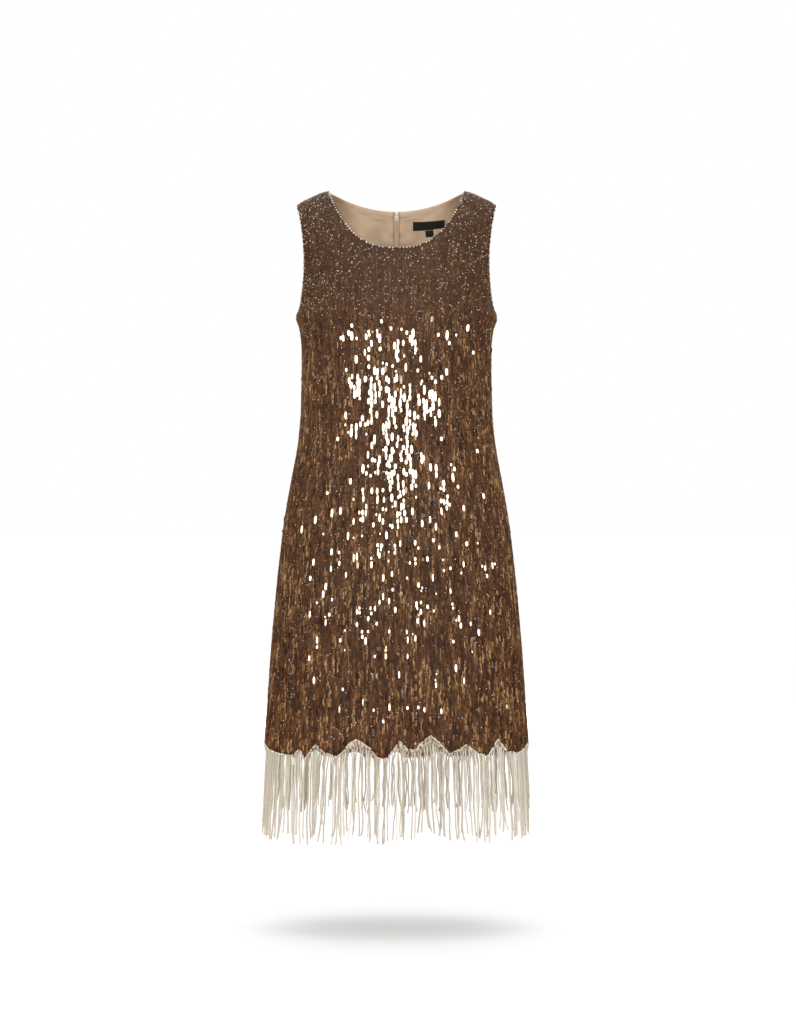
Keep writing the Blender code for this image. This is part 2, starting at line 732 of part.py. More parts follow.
def build():
    clear_scene()
    dress = bpy.data.objects.new("dress", None)
    bpy.context.scene.collection.objects.link(dress)

    cloth = material_of("sequinned_cloth", (0.115, 0.060, 0.036), 0.35, 0.2)
    lining = material_of("lining_cloth", (0.56, 0.40, 0.28), 0.6)
    tape = material_of("zip_tape", (0.60, 0.45, 0.33), 0.7)
    black = material_of("black_label", (0.012, 0.011, 0.012), 0.45)
    metal = material_of("zip_metal", (0.72, 0.64, 0.55), 0.3, 0.8)
    fringe = material_of("champagne_fringe", (0.66, 0.57, 0.46), 0.35)

    front_panel(cloth, fringe, dress)
    back_half(-1, "left", (cloth, lining, tape, fringe), dress)
    outside, lining_inside = back_half(1, "right", (cloth, lining, tape, fringe), dress)

    label_solid("neck_label", lining_inside, NECK_LABEL, black, dress)
    label_solid("size_tab", lining_inside, SIZE_TAB, black, dress)

    frame = facet_frame(outside)
    depth = WALL + SEAM_GAP + LINING
    zip_slider(frame, depth, metal, dress)
    hinge = frame @ Matrix.Translation((0, PULL_AXIS_OUT, -PULL_AXIS_DOWN))
    zip_pull(hinge, metal, dress)


build()
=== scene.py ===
# %% [markdown]
# This lesson dresses a plain solid model of a sequinned shift dress with everything that makes
# it look like the real one: cloth with soft creases, thousands of sequins and beads, a beaded
# fringe, a lining, labels and a zip.
#
# The solid model is the frame. Each new piece is laid on its form, so the size stays right.

# %% Load the frame
import math
import random

import bpy
import numpy as np
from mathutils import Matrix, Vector


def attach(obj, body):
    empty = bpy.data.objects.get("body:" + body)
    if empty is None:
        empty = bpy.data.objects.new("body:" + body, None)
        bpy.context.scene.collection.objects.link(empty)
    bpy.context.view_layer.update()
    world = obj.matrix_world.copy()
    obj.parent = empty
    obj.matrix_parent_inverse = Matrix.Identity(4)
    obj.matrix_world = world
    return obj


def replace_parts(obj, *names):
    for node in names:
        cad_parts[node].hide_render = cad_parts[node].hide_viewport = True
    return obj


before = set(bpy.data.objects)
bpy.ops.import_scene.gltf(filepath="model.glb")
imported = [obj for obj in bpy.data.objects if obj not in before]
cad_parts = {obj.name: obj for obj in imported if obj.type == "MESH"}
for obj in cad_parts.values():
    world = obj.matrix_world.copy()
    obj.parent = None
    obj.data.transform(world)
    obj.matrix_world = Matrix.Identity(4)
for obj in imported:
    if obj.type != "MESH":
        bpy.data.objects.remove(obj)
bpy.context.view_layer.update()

print("nodes in the frame:", len(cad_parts))

# %% [markdown]
# The cloth of the dress is one closed form, cut into a front and two back halves. The form is a
# stack of sections: at each drop below the shoulder it has a half width, a depth in front and a
# depth behind. The skirt's soft flutes are added on top.
#
# The rows below are the same as in the solid model, so that the two can't drift apart.

# %% The form's sections and flutes
SECTION_DROP = np.array([
    0.000, 0.022, 0.050, 0.090, 0.125, 0.150, 0.172, 0.187, 0.196, 0.203, 0.213,
    0.235, 0.265, 0.310, 0.360, 0.405, 0.450, 0.500, 0.600, 0.700, 0.800, 0.890,
])
HALF_WIDTH = np.array([
    0.1840, 0.1778, 0.1691, 0.1583, 0.1521, 0.1500, 0.1497, 0.1512, 0.1544, 0.1538, 0.1504,
    0.1468, 0.1459, 0.1465, 0.1484, 0.1538, 0.1621, 0.1710, 0.1833, 0.1925, 0.1996, 0.2065,
])
FRONT_DEPTH = np.array([
    0.0600, 0.0620, 0.0700, 0.0820, 0.0940, 0.1020, 0.1070, 0.1105, 0.1120, 0.1125, 0.1133,
    0.1145, 0.1148, 0.1125, 0.1095, 0.1080, 0.1080, 0.1095, 0.1125, 0.1150, 0.1170, 0.1185,
])
BACK_DEPTH = np.array([
    0.0750, 0.0770, 0.0830, 0.0910, 0.0960, 0.0980, 0.0988, 0.0985, 0.0980, 0.0977, 0.0973,
    0.0965, 0.0950, 0.0930, 0.0925, 0.0940, 0.0980, 0.1030, 0.1105, 0.1150, 0.1185, 0.1205,
])
# Each flute: its angle round the body, its width in degrees, its depth and the drop of its top
FLUTES = (
    (-63, 11, 0.0034, 0.50),
    (-34, 9, 0.0030, 0.56),
    (-8, 9, 0.0034, 0.50),
    (21, 8, 0.0028, 0.58),
    (41, 9, 0.0032, 0.52),
    (66, 10, 0.0030, 0.56),
    (112, 11, 0.0034, 0.52),
    (140, 10, 0.0030, 0.56),
    (166, 9, 0.0034, 0.50),
    (196, 10, 0.0030, 0.56),
    (222, 10, 0.0034, 0.52),
    (250, 11, 0.0030, 0.56),
)
FLUTE_FULL_DROP = 0.84
WALL = 0.0015
SEAM_GAP = 0.0003
TOP = WALL
NECK_HALF = 0.1055
SHOULDER_HALF = 0.154
SHOULDER_SLOPE = 0.4536
SHOULDER_ROUNDING = 0.095
NECK_RISE = 0.028
SQUARENESS = 0.85
# The shoulders' corners are let down by a bell curve of x each: depth, middle and width
CORNER_DIPS = ((0.0021, NECK_HALF, 0.0075), (0.0020, SHOULDER_HALF, 0.0060))
CORNER_REACH = 0.014
print("sections:", len(SECTION_DROP), "flutes:", len(FLUTES))


# %% [markdown]
# Between two rows of the table the form follows a smooth curve. A cubic needs a value and a
# slope at both ends of each span, and numpy's gradient gives the slopes.

# %% The form as a function
def smooth_step(value):
    """0 below 0, 1 above 1 and 3 s^2 - 2 s^3 between them."""
    share = np.clip(value, 0, 1)
    return share * share * (3 - 2 * share)


def bell(first, second=0):
    """1 where both numbers are 0, and exp(-first^2 - second^2) away from there."""
    return np.exp(-(first**2) - second**2)


def section(values, drop):
    """A table's value at a drop, by the cubic through its rows that keeps their slopes."""
    slopes = np.gradient(values, SECTION_DROP)
    drop = np.clip(drop, SECTION_DROP[0], SECTION_DROP[-1])
    low = np.clip(np.searchsorted(SECTION_DROP, drop, side="right") - 1, 0, len(values) - 2)
    span = SECTION_DROP[low + 1] - SECTION_DROP[low]
    share = (drop - SECTION_DROP[low]) / span
    rise = smooth_step(share)
    bend = share * (1 - share) * span
    start = bend * (1 - share) * slopes[low]
    end = bend * share * slopes[low + 1]
    return values[low] * (1 - rise) + values[low + 1] * rise + start - end


def ridge_drop(x):
    """Drop of the top ridge: the shoulder seam outside the neck, a gentle rise inside it."""
    beyond = np.abs(x) - NECK_HALF
    inside = -NECK_RISE * (1 - (x / NECK_HALF) ** 2)
    return np.where(beyond > 0, SHOULDER_SLOPE * beyond, inside)


def form(angle, drop):
    """The outside of the dress.

    x is the half width times the sine of the angle. y is the depth times a power of its cosine,
    and it closes to the ridge over the shoulders along a quarter circle. The angle turns from
    the middle of the front, 0, through +X, 90 degrees. The shoulders' corners are let down a
    little, by a bell curve of x and of the drop, so that they look turned and sewn.
    """
    angle, drop = np.broadcast_arrays(np.asarray(angle, float), np.asarray(drop, float))
    x = section(HALF_WIDTH, drop) * np.sin(angle)
    forward = np.cos(angle)
    depth = np.where(forward >= 0, section(FRONT_DEPTH, drop), section(BACK_DEPTH, drop))
    rounding = SHOULDER_ROUNDING + np.maximum(0, -ridge_drop(x))
    below = np.clip((drop - ridge_drop(x)) / rounding, 0, 1)
    cap = np.sqrt(1 - (1 - below) ** 2)
    y = -depth * np.sign(forward) * np.abs(forward) ** SQUARENESS * cap
    reach = 0.0
    for middle, width, flute_depth, top in FLUTES:
        away = (np.degrees(angle) - middle + 180) % 360 - 180
        grown = smooth_step((drop - top) / (FLUTE_FULL_DROP - top))
        reach = reach + flute_depth * grown * bell(away / width)
    near_top = bell((drop - ridge_drop(x)) / CORNER_REACH)
    dip = sum(deep * bell((np.abs(x) - middle) / width) for deep, middle, width in CORNER_DIPS)
    z = TOP - drop - near_top * dip
    return np.stack([x + reach * np.sin(angle), y - reach * forward, z], axis=-1)


print("front of the waist:", np.round(form(0, 0.40), 4))

# %% [markdown]
# Real cloth is never quite smooth. A worn shift dress has drag lines from the bust to the side
# seams, a few shallow bends across the waist, and long vertical folds in the skirt.
#
# Each crease below is placed one by one. Its depth fades with a bell curve across it and along it.
# Ridges have a positive depth and troughs a negative one, in millimetres.

# %% Creases placed one by one
# angle and drop of the middle, half length, half width, lean in degrees, depth in millimetres
CREASES = (
    (-52, 0.262, 0.055, 0.0110, 52, -1.3),
    (-60, 0.285, 0.050, 0.0090, 47, 0.9),
    (49, 0.268, 0.050, 0.0100, -50, -1.2),
    (58, 0.292, 0.060, 0.0095, -44, 0.9),
    (-30, 0.385, 0.050, 0.0120, 74, -1.0),
    (26, 0.402, 0.055, 0.0110, -70, -1.1),
    (-6, 0.432, 0.040, 0.0100, 82, 0.6),
    (62, 0.395, 0.040, 0.0100, -78, -1.1),
    (-66, 0.405, 0.045, 0.0100, 76, -1.2),
    (-44, 0.600, 0.130, 0.0120, 4, -1.7),
    (-20, 0.660, 0.120, 0.0110, -3, -1.4),
    (8, 0.640, 0.140, 0.0120, 2, -1.6),
    (31, 0.690, 0.110, 0.0100, -4, -1.4),
    (54, 0.610, 0.130, 0.0120, 3, -1.6),
    (-13, 0.560, 0.090, 0.0100, -5, 1.1),
    (16, 0.540, 0.080, 0.0100, 6, 1.0),
    (-28, 0.150, 0.040, 0.0100, 28, -0.7),
    (24, 0.140, 0.045, 0.0110, -24, -0.7),
    (128, 0.262, 0.050, 0.0100, -48, -1.1),
    (232, 0.275, 0.055, 0.0105, 50, -1.2),
    (160, 0.380, 0.060, 0.0120, -76, -1.2),
    (203, 0.398, 0.050, 0.0110, 72, -1.1),
    (176, 0.425, 0.050, 0.0100, -84, 0.8),
    (118, 0.400, 0.045, 0.0100, -70, -1.0),
    (244, 0.390, 0.040, 0.0100, 74, -1.1),
    (126, 0.620, 0.130, 0.0120, -4, -1.6),
    (153, 0.680, 0.120, 0.0110, 3, -1.5),
    (190, 0.640, 0.130, 0.0120, 3, -1.5),
    (209, 0.690, 0.110, 0.0110, -3, -1.4),
    (237, 0.610, 0.130, 0.0120, 4, -1.6),
    (171, 0.170, 0.050, 0.0110, 20, -0.8),
    (196, 0.160, 0.045, 0.0110, -22, -0.7),
)


def relief(angle, drop):
    """The creases' height: a sum of depth times exp(-(along / length)^2 - (across / width)^2)."""
    around = np.radians((np.degrees(angle) + 360) % 360)
    girth = section(HALF_WIDTH, drop) * 0.86
    height = 0.0
    for middle, middle_drop, length, width, lean, depth in CREASES:
        turn = (around - math.radians(middle) + math.pi) % (2 * math.pi) - math.pi
        side = turn * girth
        down = drop - middle_drop
        cosine, sine = math.cos(math.radians(lean)), math.sin(math.radians(lean))
        along = down * cosine + side * sine
        across = side * cosine - down * sine
        height = height + depth * bell(along / length, across / width)
    fade = smooth_step((drop - 0.06) / 0.06) * smooth_step((0.83 - drop) / 0.06)
    return 0.001 * height * fade


def unit(vectors):
    """The same directions, each of length 1."""
    return vectors / np.linalg.norm(vectors, axis=-1, keepdims=True)


def normal_of(angle, drop, surface):
    """The outward normal of a surface, as the cross product of two very short steps on it."""
    step = 2e-5
    across = surface(angle + step, drop) - surface(angle - step, drop)
    down = surface(angle, drop + step) - surface(angle, drop)
    return unit(np.cross(down, across))


def creased(angle, drop):
    """The form moved out along its own normal by the creases' height."""
    return form(angle, drop) + relief(angle, drop)[..., None] * normal_of(angle, drop, form)


angles_seen, drops_seen = np.meshgrid(np.linspace(-3, 3, 90), np.linspace(0.1, 0.8, 60))
seen = relief(angles_seen, drops_seen) * 1000
print("creases:", len(CREASES), "from", round(seen.min(), 2), "to", round(seen.max(), 2), "mm")

# %% [markdown]
# A panel is the part of the form between a top edge and a hem. Its columns run down the cloth.
# The top edge has three parts: the neckline, the shoulder seam and the armhole. The hem is a row
# of lobes between peaks, as the bead workers cut it.

# %% The panels' edges
UNDERARM_DROP = 0.196
BUST_DROP = 0.235
LAST_LEVEL_DROP = 0.822
NECK_COLUMNS = 7
SHOULDER_COLUMNS = 2
ARMHOLE_STEPS = np.array([0, 0.20, 0.44, 0.66, 0.83, 0.94, 0.985, 1.00])
TOP_STEPS = np.array([0, 0.015, 0.06, 0.20, 0.36, 0.52, 0.68, 0.84, 1])
LEVELS = 10
HALF_COLUMNS = 16
FRONT_NECK = (0.0990, 0.75, 1.7)
BACK_NECK = (0.0255, 1.0, 2.0)
# x and drop of the front's hem at each of its columns, from left to right
FRONT_HEM = np.array([
    (-0.2060, 0.8541), (-0.1932, 0.8622), (-0.1757, 0.8658), (-0.1549, 0.8675),
    (-0.1458, 0.8558), (-0.1381, 0.8727), (-0.1298, 0.8606), (-0.1200, 0.8493),
    (-0.1084, 0.8596), (-0.0887, 0.8669), (-0.0788, 0.8576), (-0.0705, 0.8464),
    (-0.0597, 0.8403), (-0.0502, 0.8454), (-0.0390, 0.8531), (-0.0283, 0.8671),
    (-0.0134, 0.8678), (-0.0038, 0.8541), (0.0048, 0.8420), (0.0165, 0.8539),
    (0.0270, 0.8556), (0.0391, 0.8426), (0.0515, 0.8348), (0.0645, 0.8455),
    (0.0782, 0.8618), (0.0918, 0.8560), (0.1048, 0.8488), (0.1222, 0.8625),
    (0.1360, 0.8664), (0.1520, 0.8426), (0.1670, 0.8620), (0.1830, 0.8658),
    (0.2060, 0.8525),
])
FRONT_HEM_HIGH = 0.8420
FRONT_HEM_LOW = 0.8680
# The back's hem: four lobes a half, its peaks and lobes at the side seams, and their dips behind
BACK_LOBES = 4
BACK_PEAK_DROP = 0.8525
BACK_LOBE_DROP = 0.8665
BACK_PEAK_DIP = 0.021
BACK_LOBE_DIP = 0.025


def run_of(points, axis=0):
    """Running length along lines of points, from 0 at their start."""
    steps = np.linalg.norm(np.diff(points, axis=axis), axis=-1)
    start = np.zeros_like(np.take(steps, [0], axis=axis))
    return np.concatenate([start, np.cumsum(steps, axis=axis)], axis=axis)


def angle_at(x, drop):
    """The angle at which the form reaches this x at this drop: the sine's inverse."""
    return np.arcsin(np.clip(x / section(HALF_WIDTH, drop), -1, 1))


def top_edge(column, neck):
    """Angle and drop of the top end of a column: 0 is the middle, 16 the side seam."""
    neck_drop, fullness, bow = neck
    column = np.asarray(column, float)
    share = np.clip(column / NECK_COLUMNS, 0, 1)
    turn = math.pi / 2 * (1 - (1 - share) ** 1.25)
    neck_x = NECK_HALF * np.sin(turn) ** fullness
    neck_d = neck_drop * np.cos(turn) ** bow
    along = np.clip((column - NECK_COLUMNS) / SHOULDER_COLUMNS, 0, 1)
    shoulder_x = NECK_HALF + (SHOULDER_HALF - NECK_HALF) * along
    on_neck = column < NECK_COLUMNS
    x = np.where(on_neck, neck_x, shoulder_x)
    drop = np.where(on_neck, neck_d, ridge_drop(shoulder_x))
    angle = angle_at(x, drop)
    tip = float(ridge_drop(SHOULDER_HALF))
    start = NECK_COLUMNS + SHOULDER_COLUMNS
    down = np.interp(column, start + np.arange(len(ARMHOLE_STEPS)), ARMHOLE_STEPS)
    arm_angle = np.arccos(0.50 * (1 - down**1.6) ** 0.59)
    arm_drop = tip + down * (UNDERARM_DROP - tip)
    on_arm = column > start
    return np.where(on_arm, arm_angle, angle), np.where(on_arm, arm_drop, drop)


def lobe_shape(share):
    """How far down a lobe reaches: a sine that is cut flat over the lobe's middle."""
    return np.minimum(1.0, 1.35 * np.sin(np.pi * np.clip(share, 0, 1))) ** 0.9


def front_hem_at(column):
    """Angle, drop and lobe shape of the front's hem: straight between the table's points."""
    x = np.interp(column, np.arange(33), FRONT_HEM[:, 0])
    drop = np.interp(column, np.arange(33), FRONT_HEM[:, 1])
    shape = np.clip((drop - FRONT_HEM_HIGH) / (FRONT_HEM_LOW - FRONT_HEM_HIGH), 0, 1)
    return angle_at(x, drop), drop, shape


def back_hem_at(column):
    """The same of a back half, four columns a lobe. The hem dips by the angle's cosine."""
    place = np.asarray(column, float) / 4
    lobe = np.clip(place.astype(int), 0, BACK_LOBES - 1)
    shape = lobe_shape(place - lobe)
    angle = np.interp(place, np.arange(BACK_LOBES + 1), back_stops)
    peak = BACK_PEAK_DROP + BACK_PEAK_DIP * np.cos(angle)
    low = BACK_LOBE_DROP + BACK_LOBE_DIP * np.cos(angle)
    return angle, peak + shape * (low - peak), shape


ring_angles = np.linspace(0, math.pi / 2, 181)
ring_run = run_of(form(math.pi - ring_angles, BACK_PEAK_DROP))
back_stops = np.interp(np.linspace(0, ring_run[-1], BACK_LOBES + 1), ring_run, ring_angles)
print("hem points in front:", len(FRONT_HEM), "back lobes:", 2 * BACK_LOBES)

# %% [markdown]
# A panel has two directions: the column across it and the row down it. Rows 0 to 8 lie between
# the top edge and the bust, rows 8 to 18 run down to just above the hem, and row 19 is the hem.
#
# The columns slide gently from the top edge's angles to the hem's, so they never cross.


# %% A place on a panel
def place_on(panel, column, row):
    """Angle from the middle and drop of a panel's grid at a column and a row, both continuous."""
    column, row = np.broadcast_arrays(np.asarray(column, float), np.asarray(row, float))
    if panel == "front":
        top_angle, top_drop = top_edge(np.abs(column), FRONT_NECK)
        top_angle = np.sign(column) * top_angle
        hem_angle, hem_drop, _ = front_hem_at(column + HALF_COLUMNS)
    else:
        top_angle, top_drop = top_edge(column, BACK_NECK)
        hem_angle, hem_drop, _ = back_hem_at(column)
    bust_angle = math.pi / 2 * column / HALF_COLUMNS
    top_rows = len(TOP_STEPS) - 1
    upper = top_drop + np.interp(row, np.arange(top_rows + 1), TOP_STEPS) * (BUST_DROP - top_drop)
    level = (row - top_rows) / LEVELS
    middle = BUST_DROP + level * (LAST_LEVEL_DROP - BUST_DROP)
    lower = LAST_LEVEL_DROP + (row - top_rows - LEVELS) * (hem_drop - LAST_LEVEL_DROP)
    drop = np.where(row <= top_rows, upper, np.where(level <= 1, middle, lower))
    share = np.clip((drop - top_drop) / (BUST_DROP - top_drop), 0, 1)
    slide = smooth_step((drop - BUST_DROP) / (LAST_LEVEL_DROP - BUST_DROP))
    angle = top_angle + (bust_angle - top_angle) * share + (hem_angle - bust_angle) * slide
    return angle, drop


def round_body(panel, angle):
    """The angle round the body, from a panel's own angle: the back's are counted from behind."""
    if panel == "front":
        return angle
    return math.pi - angle if panel == "right" else angle - math.pi


def panel_layer(panel, column, row, depth, surface=creased):
    """Points of a panel at a depth under its outside, held just behind the seams' middle planes."""
    angle, drop = place_on(panel, column, row)
    angle = round_body(panel, angle)
    points = surface(angle, drop)
    normals = normal_of(angle, drop, surface)
    on_seam = np.abs(drop - ridge_drop(points[..., 0])) < 1e-6
    slope = np.sign(points[..., 0]) * SHOULDER_SLOPE
    up = np.stack([slope, 0 * slope, 1 + 0 * slope], axis=-1) / math.hypot(1, SHOULDER_SLOPE)
    normals = np.where(on_seam[..., None], up, normals)
    points = points - depth * normals
    half = SEAM_GAP / 2
    if panel == "front":
        points[..., 1] = np.minimum(points[..., 1], -half)
    else:
        points[..., 1] = np.maximum(points[..., 1], half)
    return points, normals


SIDE = {"left": -1, "right": 1}


def zip_opening(row):
    """Half of the gap between the back's two edges at a row: open at the neck, then closed."""
    return np.interp(row, [0, 1, 2, 3], [0.0017, 0.0014, 0.0006, SEAM_GAP / 2])


print("front hem, middle:", np.round(panel_layer("front", 0, 19, 0)[0], 4))

# %% [markdown]
# Every new piece is a mesh made from arrays. A helper turns points and faces into an object,
# gives it its materials, and ties it to the body of the dress.
#
# The faces all have the same number of corners, so the loops fill in one call.


# %% Meshes from arrays
def make_mesh(name, points, faces, smooth=True):
    """A mesh from an array of points and one of faces, each row a face."""
    points = np.ascontiguousarray(points, dtype=np.float32).reshape(-1, 3)
    faces = np.ascontiguousarray(faces, dtype=np.int32)
    mesh = bpy.data.meshes.new(name)
    mesh.vertices.add(len(points))
    mesh.vertices.foreach_set("co", points.ravel())
    mesh.loops.add(faces.size)
    mesh.loops.foreach_set("vertex_index", faces.ravel())
    mesh.polygons.add(len(faces))
    corners = faces.shape[1]
    mesh.polygons.foreach_set("loop_start", np.arange(len(faces), dtype=np.int32) * corners)
    mesh.polygons.foreach_set("use_smooth", np.full(len(faces), smooth))
    mesh.update(calc_edges=True)
    return mesh


def add_shade(mesh, values, name="shade"):
    """A number for each point of the mesh, which its material reads."""
    layer = mesh.attributes.new(name, "FLOAT", "POINT")
    layer.data.foreach_set("value", np.ascontiguousarray(values, dtype=np.float32).ravel())


def add_piece(mesh, materials, body="dress"):
    """An object for a mesh, riding on a body and taking these materials."""
    obj = bpy.data.objects.new(mesh.name, mesh)
    bpy.context.scene.collection.objects.link(obj)
    for material in materials:
        mesh.materials.append(material)
    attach(obj, body)
    return obj


def add_copies(name, points, one, material, shade=None, smooth=True):
    """One piece of many small shapes with the same faces.

    points holds each shape's corners, one the faces of the first shape, and shade a number for
    each shape.
    """
    count, corners = points.shape[:2]
    faces = one + corners * np.arange(count)[:, None, None]
    mesh = make_mesh(name, points, faces.reshape(-1, one.shape[1]), smooth)
    if shade is not None:
        add_shade(mesh, np.repeat(shade, corners))
    return add_piece(mesh, (material,))


def grid_faces(rows, columns, first=0, flip=False):
    """Four-cornered faces of a grid of points that are counted row by row."""
    index = first + np.arange(rows * columns).reshape(rows, columns)
    a, b = index[:-1, :-1].ravel(), index[:-1, 1:].ravel()
    d, e = index[1:, :-1].ravel(), index[1:, 1:].ravel()
    return np.column_stack([a, b, e, d] if flip else [a, d, e, b])


def shell_mesh(name, outside, inside, flip=False):
    """A closed thin shell between two grids of points.

    Its faces are those of the outside, then those of the inside, then those that join the rims.
    """
    rows, columns = outside.shape[:2]
    far = rows * columns
    index = np.arange(far).reshape(rows, columns)
    edge = np.concatenate([index[0], index[1:, -1], index[-1, -2::-1], index[-2:0:-1, 0]])
    after = np.roll(edge, -1)
    rim = np.column_stack([edge, after, after + far, edge + far])
    return make_mesh(name, np.stack([outside, inside]), np.concatenate([
        grid_faces(rows, columns, flip=flip),
        grid_faces(rows, columns, first=far, flip=not flip),
        rim[:, ::-1] if flip else rim,
    ]))


# %% [markdown]
# The materials come next. All of them are made of nodes: a noise or wave pattern in the piece's
# own space changes the colour a little, and a bump gives the fine relief of thread and beads.


# %% Material helpers
def feed(tree, node, inputs):
    """Give each named input of a node a link from another node, or else a number or a colour."""
    for name, value in inputs.items():
        if isinstance(value, bpy.types.NodeSocket):
            tree.links.new(value, node.inputs[name])
        else:
            node.inputs[name].default_value = value


def add_node(tree, kind, inputs):
    """A new node of a kind, with these inputs."""
    node = tree.nodes.new(kind)
    feed(tree, node, inputs)
    return node


def new_material(name, base, roughness, metallic=0.0, specular=0.5):
    """A material with a Principled shader. Returns it with its node tree and the shader."""
    material = bpy.data.materials.new(name)
    material.use_nodes = True
    material.diffuse_color = (*base, 1)
    tree = material.node_tree
    shader = tree.nodes["Principled BSDF"]
    feed(tree, shader, {
        "Base Color": (*base, 1), "Roughness": roughness, "Metallic": metallic,
        "Specular IOR Level": specular,
    })
    return material, tree, shader


def stretched_noise(tree, scale, stretch, detail=3.0):
    """Noise in the object's own space, stretched along each axis. Also that space, unstretched."""
    place = add_node(tree, "ShaderNodeTexCoord", {}).outputs["Object"]
    mapping = add_node(tree, "ShaderNodeMapping", {"Vector": place, "Scale": stretch})
    noise = add_node(tree, "ShaderNodeTexNoise", {
        "Vector": mapping.outputs["Vector"], "Scale": scale, "Detail": detail,
    })
    return noise.outputs["Fac"], place


def colour_ramp(tree, value, stops):
    """Colours along a value, from (position, red, green, blue) stops."""
    ramp = add_node(tree, "ShaderNodeValToRGB", {"Fac": value})
    elements = ramp.color_ramp.elements
    elements.remove(elements[1])
    elements[0].position = stops[0][0]
    for position, *_ in stops[1:]:
        elements.new(position)
    for element, (_, *colour) in zip(elements, stops):
        element.color = (*colour, 1)
    return ramp.outputs["Color"]


def add_bump(tree, shader, height, distance, strength=1.0):
    """A bump from a height, in metres."""
    bump = add_node(tree, "ShaderNodeBump", {
        "Height": height, "Distance": distance, "Strength": strength,
    })
    feed(tree, shader, {"Normal": bump.outputs["Normal"]})


def shade_of(tree):
    """The number that a mesh keeps for each of its points."""
    node = tree.nodes.new("ShaderNodeAttribute")
    node.attribute_name = "shade"
    return node.outputs["Fac"]


def mixed(tree, first, second, factor=1.0, kind="RGBA", way="MULTIPLY"):
    """Two colours multiplied, or two numbers mixed, by a factor."""
    node = tree.nodes.new("ShaderNodeMix")
    node.data_type = kind
    node.blend_type = way
    feed(tree, node, {"Factor": factor, "A": first, "B": second})
    return node.outputs["Result"]


def height_in(tree, space, low, high):
    """How far a point's height in a space has come from one height to another, from 0 to 1."""
    place = add_node(tree, "ShaderNodeTexCoord", {}).outputs[space]
    parts = add_node(tree, "ShaderNodeSeparateXYZ", {"Vector": place})
    return add_node(tree, "ShaderNodeMapRange", {
        "Value": parts.outputs["Z"], "From Min": low, "From Max": high,
    }).outputs["Result"]


def warmer_below(tree, colour):
    """The colour times a tint that grows warmer from the chest down to the hem."""
    tint = colour_ramp(tree, height_in(tree, "Object", -0.10, -0.85), (
        (0.0, 0.94, 0.80, 0.62), (0.38, 1.18, 1.03, 0.78),
        (0.64, 1.02, 0.86, 0.63), (1.0, 1.04, 0.79, 0.50),
    ))
    return mixed(tree, colour, tint)


def toned_material(name, base, finish, stops, grain, bump, source=None, warmer=False):
    """A material whose colour runs along stops, with a fine grain in its bump.

    finish is its roughness, its metallic part and, where it differs, its specular level. The
    place on the stops is each point's own shade, or noise where source gives that noise's scale.
    """
    material, tree, shader = new_material(name, base, *finish)
    value = stretched_noise(tree, *source)[0] if source else shade_of(tree)
    tone = colour_ramp(tree, value, stops)
    feed(tree, shader, {"Base Color": warmer_below(tree, tone) if warmer else tone})
    add_bump(tree, shader, stretched_noise(tree, *grain)[0], *bump)
    return material


# %% [markdown]
# The ground of the sequinned cloth is a dark brown net, worked over with tiny cut beads. Cells
# of a Voronoi pattern make the beads, and a stretched noise makes the long streaks where
# neighbouring rows of thread lie a little differently.

# %% The cloth's ground
ground, tree, shader = new_material("sequinned ground", (0.10, 0.055, 0.032), 0.34, 0.35)
streaks, place = stretched_noise(tree, 190, (1, 1, 0.05))
cells = add_node(tree, "ShaderNodeTexVoronoi", {"Vector": place, "Scale": 520}).outputs["Distance"]
toned = colour_ramp(tree, streaks, (
    (0.30, 0.030, 0.014, 0.007), (0.55, 0.070, 0.032, 0.016), (0.78, 0.140, 0.070, 0.036),
))
spots = colour_ramp(tree, cells, ((0.10, 1, 1, 1), (0.55, 0.45, 0.42, 0.40)))
feed(tree, shader, {"Base Color": warmer_below(tree, mixed(tree, toned, spots))})
add_bump(tree, shader, cells, -0.0006)
print("made:", ground.name)

# %% [markdown]
# The sequins are thin plates of dyed, metallised film. Each has a slightly different tone, kept
# in its points. They are smooth, so they mirror the room: a plate that faces the soft light
# shows nearly white, and its neighbour shows the dark side of the studio.

# %% Sequins and beads
EVEN = (1, 1, 1)
FINE_BUMP = (0.0001, 0.4)
sequin = toned_material(
    "sequin film", (0.30, 0.15, 0.08), (0.12, 0.85),
    ((0.0, 0.055, 0.025, 0.013), (0.35, 0.10, 0.053, 0.030),
     (0.7, 0.22, 0.125, 0.075), (1.0, 0.32, 0.262, 0.195)),
    (900, (1, 1, 0.5), 2.0), (0.00005, 0.4))
glass = toned_material(
    "brown glass bead", (0.11, 0.05, 0.023), (0.42, 0.25, 0.3),
    ((0.0, 0.030, 0.013, 0.006), (0.35, 0.100, 0.046, 0.021),
     (0.6, 0.178, 0.092, 0.045), (0.85, 0.30, 0.190, 0.105), (1.0, 0.48, 0.36, 0.23)),
    (1600, EVEN, 1.0), FINE_BUMP, warmer=True)
champagne = toned_material(
    "champagne bead", (0.68, 0.60, 0.49), (0.3, 0.1),
    ((0.3, 0.52, 0.44, 0.34), (0.7, 0.82, 0.75, 0.64)),
    (1400, EVEN, 1.0), FINE_BUMP, source=(300, EVEN, 2.0))
# Pale beads: their near-white tone stands in for the sparkle of cut facets, a painted glint.
crystal = toned_material(
    "pale crystal, painted sparkle", (0.80, 0.71, 0.58), (0.3, 0.1),
    ((0.0, 0.30, 0.20, 0.13), (0.5, 0.54, 0.44, 0.32), (1.0, 0.93, 0.87, 0.76)),
    (1400, EVEN, 1.0), FINE_BUMP)
print("made:", sequin.name, glass.name, champagne.name, crystal.name)

# %% [markdown]
# The lining is a beige satin. Its threads are far too fine to model, so a pair of wave patterns
# gives them to the light. The cloth's sheen stays soft.


